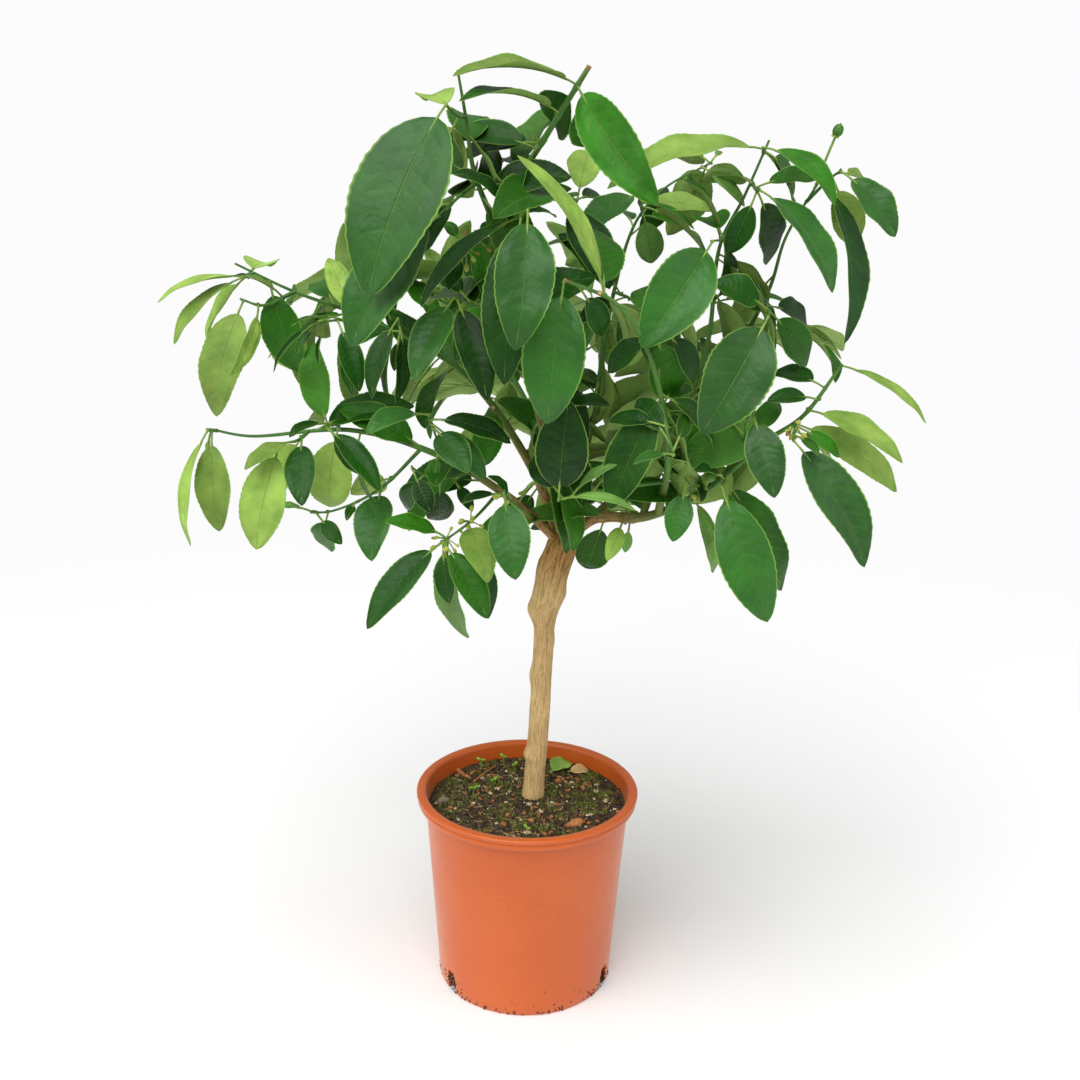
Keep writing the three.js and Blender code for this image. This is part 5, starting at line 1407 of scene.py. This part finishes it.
def pot_profile(pot):
    """Half of the pot's cross section, from the middle of the base round to the middle of its floor."""
    under_lip = pot.height - pot.lip_depth
    groove = pot.height - 0.46 * pot.lip_depth
    inner = pot.rim_radius - pot.lip_width
    points = [(0.0, 0.0), (pot.base_radius - 2.0 * MM, 0.0), (pot.base_radius - 0.7 * MM, 0.3 * MM),
              (pot.base_radius, 1.2 * MM)]
    points += [(wall_radius(pot, under_lip * share), under_lip * share)
               for share in np.linspace(0.06, 0.985, 16)]
    points += [(pot.shoulder_radius + 0.5 * MM, under_lip)]
    lower = pot.rim_radius - 1.1 * MM
    points += [(lower - 2.5 * MM, under_lip + 0.1 * MM), (lower - 0.6 * MM, under_lip + 0.6 * MM),
               (lower, under_lip + 1.6 * MM), (lower, groove - 0.8 * MM),
               (lower - 0.5 * MM, groove - 0.2 * MM), (lower - 0.5 * MM, groove + 0.3 * MM)]
    roll = 2.1 * MM
    for step in range(7):
        angle = -math.pi / 3 + step * (math.pi / 2 + math.pi / 3) / 6
        points.append((pot.rim_radius - roll + roll * math.cos(angle),
                       pot.height - roll + roll * math.sin(angle)))
    points += [(inner + 2.6 * MM, pot.height), (inner + 1.2 * MM, pot.height - 0.4 * MM),
               (inner + 0.3 * MM, pot.height - 1.6 * MM), (inner, pot.height - 3.5 * MM)]
    points += [(wall_radius(pot, under_lip * share) - pot.wall, under_lip * share)
               for share in np.linspace(0.97, 0.05, 8)]
    points += [(wall_radius(pot, pot.wall) - pot.wall - 1.5 * MM, pot.wall), (0.0, pot.wall)]
    return points


def slot_cutter(pot, angle):
    """A wedge of air that cuts a drainage slot through the foot of the wall."""
    shape = Shape()
    foot = pot.slot_width / 2
    head = pot.slot_width * 0.38
    outline = [(-foot, -1 * MM), (foot, -1 * MM), (foot * 0.92, pot.slot_height * 0.6),
               (head, pot.slot_height - 1.5 * MM), (head - 1.5 * MM, pot.slot_height),
               (1.5 * MM - head, pot.slot_height), (-head, pot.slot_height - 1.5 * MM),
               (-foot * 0.92, pot.slot_height * 0.6)]
    near = pot.base_radius - 7 * MM
    far = pot.base_radius + 5 * MM
    count = len(outline)
    aside = np.array([math.cos(angle), math.sin(angle), 0.0])
    points = [around(reach, angle, up) + aside * across for reach in (near, far) for across, up in outline]
    faces = [tuple(reversed(range(count))), tuple(range(count, 2 * count))]
    for here in range(count):
        beside = (here + 1) % count
        faces.append((here, beside, beside + count, here + count))
    shape.add(points, faces)
    return shape.piece("slot_cutter", [])


def cut(made, tools):
    """Subtract the tools from a piece, and throw the tools away."""
    for tool in tools:
        modifier = made.modifiers.new("slot", "BOOLEAN")
        modifier.operation = "DIFFERENCE"
        modifier.solver = "EXACT"
        modifier.object = tool
    shaped = made.evaluated_get(bpy.context.evaluated_depsgraph_get())
    mesh = bpy.data.meshes.new_from_object(shaped)
    made.modifiers.clear()
    made.data = mesh
    for tool in tools:
        bpy.data.objects.remove(tool)
    mesh.set_sharp_from_angle(angle=math.radians(40))


def build_pot(pot, finishes):
    """The pot, with its two-tier rolled rim and its drainage slots."""
    shape = Shape()
    add_lathe(shape, pot_profile(pot), POT_SIDES)
    made = shape.piece("nursery_pot", [finishes["satin_terracotta"]], 40)
    cut(made, [slot_cutter(pot, math.radians(angle)) for angle in SLOT_ANGLES])
    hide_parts("pot")


def lumps(x, y):
    """Uneven height of the compost at a point on it."""
    coarse = noise.noise(Vector((x * 55, y * 55, 3.1)))
    fine = noise.noise(Vector((x * 210, y * 210, 7.7)))
    return 1.6 * MM * coarse + 0.9 * MM * fine


def soil_height(pot, x, y):
    """Height of the finished compost surface at a point."""
    return soil_top(pot, math.hypot(x, y)) + lumps(x, y)


def build_compost(pot, finishes):
    """The block of compost that fills the pot, with a lumpy surface."""
    shape = Shape()
    floor = pot.wall + 0.3 * MM
    edge = soil_edge(pot) - 0.3 * MM
    rows = [(0.0, floor), (wall_radius(pot, floor) - pot.wall - 0.5 * MM, floor),
            (edge, soil_level(pot) - 3 * MM)]
    rows += [(edge * share, None) for share in np.linspace(1.0, 0.0, 36)]
    add_lathe(shape, [(radius, height or 0.0) for radius, height in rows], SOIL_SIDES)
    points = shape.points[0]
    top_row = 1 + 2 * SOIL_SIDES
    for point in points[top_row:]:
        point[2] = soil_height(pot, point[0], point[1])
    made = shape.piece("compost", [finishes["dark_compost"]], 80)
    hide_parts("potting_soil")


def soil_spot(pot, rng, margin=3 * MM, nearest=10 * MM):
    """A random place on the compost, clear of the wall and of the trunk."""
    while True:
        x, y = rng.uniform(-1, 1, 2) * soil_edge(pot)
        if math.hypot(x, y) > soil_edge(pot) - margin:
            continue
        if math.hypot(x - TRUNK_FOOT[0], y - TRUNK_FOOT[1]) > nearest:
            return x, y


def scatter(pot, finishes, name, kinds, count, seed):
    """One piece of many small uneven crumbs that lie on the compost. A kind is a finish, its share
    of the crumbs, and the smallest and largest half length."""
    rng = np.random.default_rng(seed)
    shape = Shape()
    shares = np.array([kind[1] for kind in kinds])
    for _ in range(count):
        pick = rng.choice(len(kinds), p=shares / shares.sum())
        _, _, smallest, largest = kinds[pick]
        x, y = soil_spot(pot, rng)
        half = rng.uniform(smallest, largest) * rng.uniform(0.6, 1.0)
        centre = np.array([x, y, soil_height(pot, x, y) + half * 0.25])
        axis = rng.normal(size=3) * np.array([1.0, 1.0, 0.35])
        add_blob(shape, centre, axis, half, half * rng.uniform(0.35, 0.8), pick, rough=0.5, detail=4)
    made = shape.piece(name, [finishes[kind[0]] for kind in kinds], 35)


def build_moss(pot, finishes):
    """Cushions of moss: many short pointed blades in patches on the compost."""
    rng = np.random.default_rng(SEEDS["moss"])
    shape = Shape()
    for _ in range(MOSS_PATCHES):
        x, y = soil_spot(pot, rng, 6 * MM)
        spread = rng.uniform(2.0, 6.5) * MM
        for _ in range(int(rng.uniform(10, 34))):
            aside = rng.normal(size=2) * spread * 0.6
            foot_x, foot_y = x + aside[0], y + aside[1]
            if math.hypot(foot_x, foot_y) > soil_edge(pot) - 2 * MM:
                continue
            foot = np.array([foot_x, foot_y, soil_height(pot, foot_x, foot_y) - 0.3 * MM])
            lean = np.array([*rng.normal(size=2) * 0.5, 1.0])
            tall = rng.uniform(1.0, 2.8) * MM
            add_blob(shape, foot + unit(lean) * tall * 0.5, lean, tall, 0.5 * MM, 0, detail=3)
    shape.piece("moss_cushions", [finishes["moss"]])


def build_fibres(pot, finishes):
    """Fine roots and straws on the compost, and roots that show in the drainage slots."""
    rng = np.random.default_rng(SEEDS["fibres"])
    shape = Shape()
    for _ in range(FIBRES):
        x, y = soil_spot(pot, rng, 12 * MM)
        angle = rng.uniform(0, 2 * math.pi)
        reach = rng.uniform(4, 12) * MM
        bend = rng.uniform(-0.4, 0.4)
        line = []
        for share in np.linspace(-0.5, 0.5, 6):
            turn = angle + bend * share * 2
            px = x + math.cos(turn) * reach * share
            py = y + math.sin(turn) * reach * share
            line.append((px, py, soil_height(pot, px, py) + 0.7 * MM))
        add_stem(shape, line, [rng.uniform(0.14, 0.32) * MM] * 6, 5)
    for slot_angle in SLOT_ANGLES:
        for _ in range(SLOT_ROOTS):
            angle = math.radians(slot_angle) + rng.uniform(-0.06, 0.06)
            height = rng.uniform(4, 16) * MM
            radius = wall_radius(pot, height) - pot.wall - 0.2 * MM
            line = [around(radius + 0.6 * MM * math.sin(3 * share), angle + 0.05 * share,
                           height + rng.uniform(-1, 1) * MM) for share in np.linspace(-1, 1, 5)]
            add_stem(shape, line, [0.5 * MM] * 5, 5)
    shape.piece("root_fibres", [finishes["root_fibre"]])


def build_scraps(pot, finishes):
    """Curled scraps of bark, and pale dry tufts like small stars, on the compost."""
    rng = np.random.default_rng(SEEDS["scraps"])
    scraps = Shape()
    for x, y, half in SCRAPS:
        centre = np.array([x, y, soil_height(pot, x, y) + half * 0.3])
        lie = np.array([*rng.normal(size=2), rng.uniform(-0.1, 0.5)])
        add_blob(scraps, centre, lie, half, half * 0.34, rough=0.6, detail=8)
    scraps.piece("bark_scraps", [finishes["bark_scrap"]], 35)
    tufts = Shape()
    small = [(*soil_spot(pot, rng, 5 * MM), rng.uniform(1.2, 2.4) * MM) for _ in range(SMALL_TUFTS)]
    for x, y, reach in TUFTS + small:
        foot = np.array([x, y, soil_height(pot, x, y) + 0.2 * MM])
        for number in range(TUFT_STRAWS):
            angle = math.radians(GOLDEN_ANGLE * number)
            out = np.array([math.cos(angle), math.sin(angle), rng.uniform(0.3, 1.6)])
            tip = foot + unit(out) * reach * rng.uniform(0.7, 1.1)
            add_stem(tufts, [foot, (foot + tip) / 2, tip], [0.3 * MM, 0.42 * MM, 0.2 * MM], 5)
    tufts.piece("dry_tufts", [finishes["dry_tuft"]])


def build_splashes(pot, finishes):
    """Crumbs of compost that cling to the wall at the drainage slots and along the foot."""
    rng = np.random.default_rng(SEEDS["splashes"])
    shape = Shape()
    for number in range(SPLASHED_CRUMBS):
        half = rng.uniform(0.3, 1.2) * MM
        angle = rng.uniform(0, 2 * math.pi)
        height = rng.exponential(2.5) * MM + 0.6 * MM
        sunk = 0.0
        if number % 2:
            in_slot = number % 4 == 1
            height = rng.uniform(1.0, 15.0) * MM
            sunk = rng.uniform(0.0, pot.wall) * in_slot
            slot_angle = math.radians(SLOT_ANGLES[number // 2 % len(SLOT_ANGLES)])
            angle = slot_angle + (rng.uniform(-0.04, 0.04) if in_slot else rng.normal() * 0.09)
        centre = around(wall_radius(pot, height) + 0.1 * MM - sunk, angle, height + half * 0.5)
        add_blob(shape, centre, rng.normal(size=3), half, half * 0.6, rough=0.5, detail=4)
    shape.piece("splashed_crumbs", [finishes["brown_crumb"]], 35)


def build_seedlings(pot, finishes):
    """Small weeds with two round seed leaves, on short stalks."""
    rng = np.random.default_rng(SEEDS["seedlings"])
    shape = Shape()
    for x, y, tall in SEEDLINGS:
        foot = np.array([x, y, soil_height(pot, x, y) - 1 * MM])
        head = foot + np.array([rng.uniform(-1.5, 1.5) * MM, rng.uniform(-1.5, 1.5) * MM, tall])
        add_stem(shape, [foot, (foot + head) / 2, head], [0.45 * MM, 0.4 * MM, 0.35 * MM], 5)
        turn = rng.uniform(0, math.pi)
        for half_turn in (0.0, math.pi):
            out = np.array([math.cos(turn + half_turn), math.sin(turn + half_turn), 0.35])
            add_blob(shape, head + unit(out) * 2.3 * MM, out, 2.6 * MM, 1.4 * MM, detail=5)
    shape.piece("seedlings", [finishes["seedling"]])


# ---------------------------------------------------------------- the trunk and the litter


def build_trunk(tree, finishes):
    """The bare trunk: tan bark with long ridges, a few old swellings, and a knotted head."""
    curve = trunk_curve()
    shares = np.linspace(0.0, 1.0, TRUNK_STEPS + 1)
    radii = tree.trunk_radius + (tree.trunk_top - tree.trunk_radius) * shares
    radii += (tree.fork_radius - tree.trunk_top) * smoothstep(shares, *HEAD_SWELLS)
    foot = ROOT_DEPTH / curve.length
    radii += 0.8 * MM * np.exp(-((shares - foot) / 0.035) ** 2)

    def ripple(number, angle):
        share = min(number / TRUNK_STEPS, 1.0)
        value = 1.0
        for swelling in SWELLINGS:
            near = math.exp(-((share - swelling.at) / swelling.long) ** 2)
            facing_it = 0.5 + 0.5 * math.cos(angle - math.radians(swelling.turn))
            value += swelling.rise * near * facing_it ** 2
        where = Vector((math.cos(angle) * 2.6, math.sin(angle) * 2.6, share * 9))
        fine = Vector((math.cos(angle) * 8, math.sin(angle) * 8, share * 26))
        return value + 0.055 * noise.noise(where) + 0.035 * noise.noise(fine)

    shape = Shape()
    centres = np.array([curve.at(share) for share in shares])
    add_stem(shape, centres, radii, TRUNK_SIDES, woody=smoothstep(shares, *HEAD_BROWNS), ripple=ripple)
    made = shape.piece("bare_trunk", [finishes["striped_bark"]], 80)
    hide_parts("trunk")


def build_litter(pot, tree, finishes):
    """What lies on the compost: a fresh and a dry fallen leaf, a twig, a bark chip and a pebble."""
    rng = np.random.default_rng(SEEDS["litter"])
    for name, (base, tip, ratio, turn, tilt), finish, slot in (
            ("fallen_leaf", FALLEN_LEAF, "lime_leaf", "young_leaf"),
            ("dry_leaf", DRY_LEAF, "dry_blade", "dry_leaf")):
        shape = Shape()
        ends = [np.array([x, y, soil_top(pot, math.hypot(x, y)) + above]) for x, y, above in (base, tip)]
        add_leaf(shape, tree, ends[0], ends[1], Leaf(0, (0, 0, 0), ratio, turn, tilt, YOUNG), rng, 0, 1,
                 longest_stalk=0.12)
        made = shape.piece(f"{name}_blade", [finishes[finish], finishes["leaf_stalk"]])
        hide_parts(name)
    shape = Shape()
    ends = [np.array([x, y, soil_top(pot, math.hypot(x, y)) + above]) for x, y, above in DRY_TWIG]
    line = Curve(ends)
    shares = np.linspace(0, 1, 12)
    add_stem(shape, [line.at(share) for share in shares],
             [0.9 * MM * (1.1 - 0.3 * share) for share in shares], 8,
             ripple=lambda number, angle: 1 + 0.15 * math.sin(number * 2.3))
    made = shape.piece("dry_twig_bent", [finishes["bark_scrap"]])
    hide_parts("dry_twig")
    for name, (x, y, up, size, flat, finish), slot in (
            ("bark_chip", BARK_CHIP, "bark_chip"), ("pebble", PEBBLE, "pebble")):
        shape = Shape()
        centre = np.array([x, y, soil_top(pot, math.hypot(x, y)) + up])
        add_blob(shape, centre, (1.0, 0.35, 0.1), size, size * flat, rough=0.45, detail=12)
        made = shape.piece(f"{name}_rough", [finishes[finish]], 45)
        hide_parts(name)


# ---------------------------------------------------------------- fruit and buds


def build_fruit(crown, finishes):
    """Young limes on short stalks, each with its yellow-green cap and a small nipple."""
    for name, (parent, at, path) in FRUITS.items():
        curve = Curve([crown.curves[parent].at(at)] + [np.array(FORK) + np.array(way) for way in path])
        heading = curve.direction(1.0)
        shape = Shape()
        shares = np.linspace(0, 1, 10)
        add_stem(shape, [curve.at(share) for share in shares], [1.0 * MM] * 10, 8, 1)
        centre = curve.at(1.0) + heading * FRUIT_RADIUS
        add_blob(shape, centre, heading, FRUIT_RADIUS * 1.25, FRUIT_RADIUS, 0, detail=16)
        add_blob(shape, centre + heading * FRUIT_RADIUS * 1.25, heading, 0.9 * MM, 0.6 * MM, 0, detail=4)
        helper = unit(np.cross(heading, (0.3, 1.0, 0.2)))
        for lobe in range(5):
            out = turned(helper, heading, 2 * math.pi * lobe / 5)
            add_blob(shape, centre - heading * FRUIT_RADIUS * 1.1 + out * 1.7 * MM, out - heading * 0.3,
                     1.7 * MM, 0.9 * MM, 2, detail=4)
        made = shape.piece(f"{name}_ripening",
                           [finishes["lime_fruit"], finishes["leaf_stalk"], finishes["yellow_bud"]])
        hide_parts(name)


def build_buds(crown, finishes):
    """Clusters of small flower buds and set fruit at the ends of some twigs."""
    rng = np.random.default_rng(SEEDS["buds"])
    for name, clusters in BUD_CLUSTERS.items():
        shape = Shape()
        for at, count, spread in clusters:
            centre = crown.spot(name, at)
            for _ in range(count):
                heading = unit(rng.normal(size=3) + np.array([0.0, -0.6, 0.2]))
                end = centre + heading * rng.uniform(0.4, 1.0) * spread
                line = [centre, (centre + end) / 2 + np.array([0, 0, 0.6 * MM]), end]
                add_stem(shape, line, [0.55 * MM, 0.5 * MM, 0.5 * MM], 5, 0)
                size = rng.uniform(1.3, 2.4) * MM
                ripe = 2 if rng.random() < 0.2 else 1
                add_blob(shape, end + heading * size, heading, size * 1.35, size * 0.85, ripe, detail=6)
        made = shape.piece(f"{name}_buds",
                           [finishes["leaf_stalk"], finishes["yellow_bud"], finishes["brown_bud"]])


# ---------------------------------------------------------------- the stage


def add_light(name, kind, where, strength):
    """A soft light that looks at the tree."""
    lamp = bpy.data.lights.new(name, kind)
    lamp.energy = strength
    made = bpy.data.objects.new(name, lamp)
    made.location = where
    made.rotation_euler = (Vector(TREE_MIDDLE) - Vector(where)).to_track_quat("-Z", "Y").to_euler()
    bpy.context.scene.collection.objects.link(made)
    return lamp


def build_lights(stage):
    """A wide light from above the camera, and a soft light on each side."""
    add_light("overhead_light", "SUN", OVERHEAD_PLACE, stage.overhead).angle = OVERHEAD_WIDTH
    aside, ahead, up = SIDE_PLACE
    for name, side in (("right_light", 1), ("left_light", -1)):
        add_light(name, "AREA", (aside * side, ahead, up), stage.fill_power).size = SIDE_SIZE


def build_floor(stage):
    """A plain pale floor, with the faintest unevenness in its finish."""
    material, tree, surface = new_finish("pale_floor", Specular_IOR_Level=0.2)
    drift = fade(tree, cloudy(tree, 3.0, 2.0), 0.3, 0.7, 0.55, 0.6)
    tree.links.new(drift, surface.inputs["Roughness"])
    surface.inputs["Base Color"].default_value = stage.floor
    spot = put(tree, "ShaderNodeTexCoord").outputs["Object"]
    distance = put(tree, "ShaderNodeVectorMath", {"operation": "LENGTH"}, Vector=spot).outputs["Value"]
    tree.links.new(fade(tree, distance, *FLOOR_FADES, 1.0, 0.0), surface.inputs["Alpha"])
    half = FLOOR_SIZE / 2
    corners = [(-half, -half, 0), (half, -half, 0), (half, half, 0), (-half, half, 0)]
    sheet = bpy.data.meshes.new("floor")
    sheet.from_pydata(corners, [], [(0, 1, 2, 3)])
    sheet.materials.append(material)
    made = bpy.data.objects.new("floor", sheet)
    bpy.context.scene.collection.objects.link(made)


def build_surround(stage):
    """Even white light from all round, in front of a plain white backdrop."""
    world = bpy.data.worlds.new("white_surround")
    bpy.context.scene.world = world
    world.use_nodes = True
    tree = world.node_tree
    seen = put(tree, "ShaderNodeLightPath").outputs["Is Camera Ray"]
    light = tree.nodes["Background"]
    light.inputs["Color"].default_value = (1.0, 1.0, 1.0, 1.0)
    span = stage.backdrop - stage.sky
    feed(tree, light.inputs["Strength"], calc(tree, "MULTIPLY_ADD", seen, span, stage.sky))


def build_camera(stage):
    """A camera in front of the tree, a little above its middle, that looks slightly down."""
    lens = bpy.data.cameras.new("front_view")
    lens.lens = stage.lens
    lens.sensor_width = SENSOR_WIDTH
    made = bpy.data.objects.new("front_view", lens)
    ahead = Vector((0.0, math.cos(stage.pitch), -math.sin(stage.pitch)))
    level = Vector((1.0, 0.0, 0.0))
    upright = level.cross(ahead)
    right = level * math.cos(stage.roll) + upright * math.sin(stage.roll)
    top = upright * math.cos(stage.roll) - level * math.sin(stage.roll)
    made.matrix_world = Matrix.Translation(CAMERA_PLACE) @ Matrix((right, top, -ahead)).transposed().to_4x4()
    bpy.context.scene.collection.objects.link(made)
    bpy.context.scene.camera = made


# ---------------------------------------------------------------- operators


class LIMETREE_OT_pot(bpy.types.Operator):
    """Build the nursery pot"""
    bl_idname = "limetree.pot"
    bl_label = "Pot"

    def execute(self, context):
        build_pot(context.scene.lime_pot, make_finishes(context.scene))
        return {"FINISHED"}


class LIMETREE_OT_compost(bpy.types.Operator):
    """Build the compost with its crumbs, moss, roots and seedlings"""
    bl_idname = "limetree.compost"
    bl_label = "Compost"

    def execute(self, context):
        pot = context.scene.lime_pot
        finishes = make_finishes(context.scene)
        build_compost(pot, finishes)
        scatter(pot, finishes, "crumbs", CRUMB_KINDS, pot.crumbs, SEEDS["crumbs"])
        scatter(pot, finishes, "perlite_grains", PERLITE_KINDS, PERLITE_GRAINS, SEEDS["perlite"])
        build_moss(pot, finishes)
        build_fibres(pot, finishes)
        build_scraps(pot, finishes)
        build_splashes(pot, finishes)
        build_seedlings(pot, finishes)
        return {"FINISHED"}


class LIMETREE_OT_litter(bpy.types.Operator):
    """Build the fallen leaves, the twig, the bark chip and the pebble"""
    bl_idname = "limetree.litter"
    bl_label = "Litter"

    def execute(self, context):
        build_litter(context.scene.lime_pot, context.scene.lime_tree, make_finishes(context.scene))
        return {"FINISHED"}


class LIMETREE_OT_trunk(bpy.types.Operator):
    """Build the bare trunk"""
    bl_idname = "limetree.trunk"
    bl_label = "Trunk"

    def execute(self, context):
        build_trunk(context.scene.lime_tree, make_finishes(context.scene))
        return {"FINISHED"}


class LIMETREE_OT_crown(bpy.types.Operator):
    """Build the limbs and twigs with their leaves"""
    bl_idname = "limetree.crown"
    bl_label = "Crown"

    def execute(self, context):
        crown = Crown(context.scene.lime_tree)
        finishes = make_finishes(context.scene)
        for row in BRANCHES:
            build_branch(crown, row.name, finishes)
        return {"FINISHED"}


class LIMETREE_OT_fruit(bpy.types.Operator):
    """Build the young fruit and the clusters of buds"""
    bl_idname = "limetree.fruit"
    bl_label = "Fruit and buds"

    def execute(self, context):
        crown = Crown(context.scene.lime_tree)
        finishes = make_finishes(context.scene)
        build_fruit(crown, finishes)
        build_buds(crown, finishes)
        return {"FINISHED"}


class LIMETREE_OT_stage(bpy.types.Operator):
    """Build the floor, the lights, the surround and the camera"""
    bl_idname = "limetree.stage"
    bl_label = "Stage"

    def execute(self, context):
        stage = context.scene.lime_stage
        build_floor(stage)
        build_surround(stage)
        build_lights(stage)
        build_camera(stage)
        context.scene.view_settings.view_transform = "Standard"
        return {"FINISHED"}


class LIMETREE_PT_panel(bpy.types.Panel):
    """The steps that build the tree, in the 3D view's sidebar"""
    bl_idname = "LIMETREE_PT_panel"
    bl_label = "Potted lime tree"
    bl_space_type = "VIEW_3D"
    bl_region_type = "UI"
    bl_category = "Lime tree"

    def draw(self, context):
        layout = self.layout
        for settings in (context.scene.lime_pot, context.scene.lime_tree, context.scene.lime_stage):
            box = layout.box()
            for name in settings.bl_rna.properties.keys():
                if name not in ("rna_type", "name"):
                    box.prop(settings, name)
        for step in STEPS:
            layout.operator(step.bl_idname)


STEPS = (LIMETREE_OT_pot, LIMETREE_OT_compost, LIMETREE_OT_litter, LIMETREE_OT_trunk,
         LIMETREE_OT_crown, LIMETREE_OT_fruit, LIMETREE_OT_stage)
CLASSES = (LimePotSettings, LimeTreeSettings, LimeStageSettings, *STEPS, LIMETREE_PT_panel)


def register():
    """Make the settings, the steps and the panel known."""
    for known in CLASSES:
        bpy.utils.register_class(known)
    bpy.types.Scene.lime_pot = PointerProperty(type=LimePotSettings)
    bpy.types.Scene.lime_tree = PointerProperty(type=LimeTreeSettings)
    bpy.types.Scene.lime_stage = PointerProperty(type=LimeStageSettings)


def unregister():
    """Forget the settings, the steps and the panel."""
    del bpy.types.Scene.lime_stage
    del bpy.types.Scene.lime_tree
    del bpy.types.Scene.lime_pot
    for known in reversed(CLASSES):
        bpy.utils.unregister_class(known)


def main():
    """Register everything, and build the tree step by step."""
    register()
    bpy.ops.limetree.pot()
    bpy.ops.limetree.compost()
    bpy.ops.limetree.litter()
    bpy.ops.limetree.trunk()
    bpy.ops.limetree.crown()
    bpy.ops.limetree.fruit()
    bpy.ops.limetree.stage()


if __name__ == "__main__":
    main()
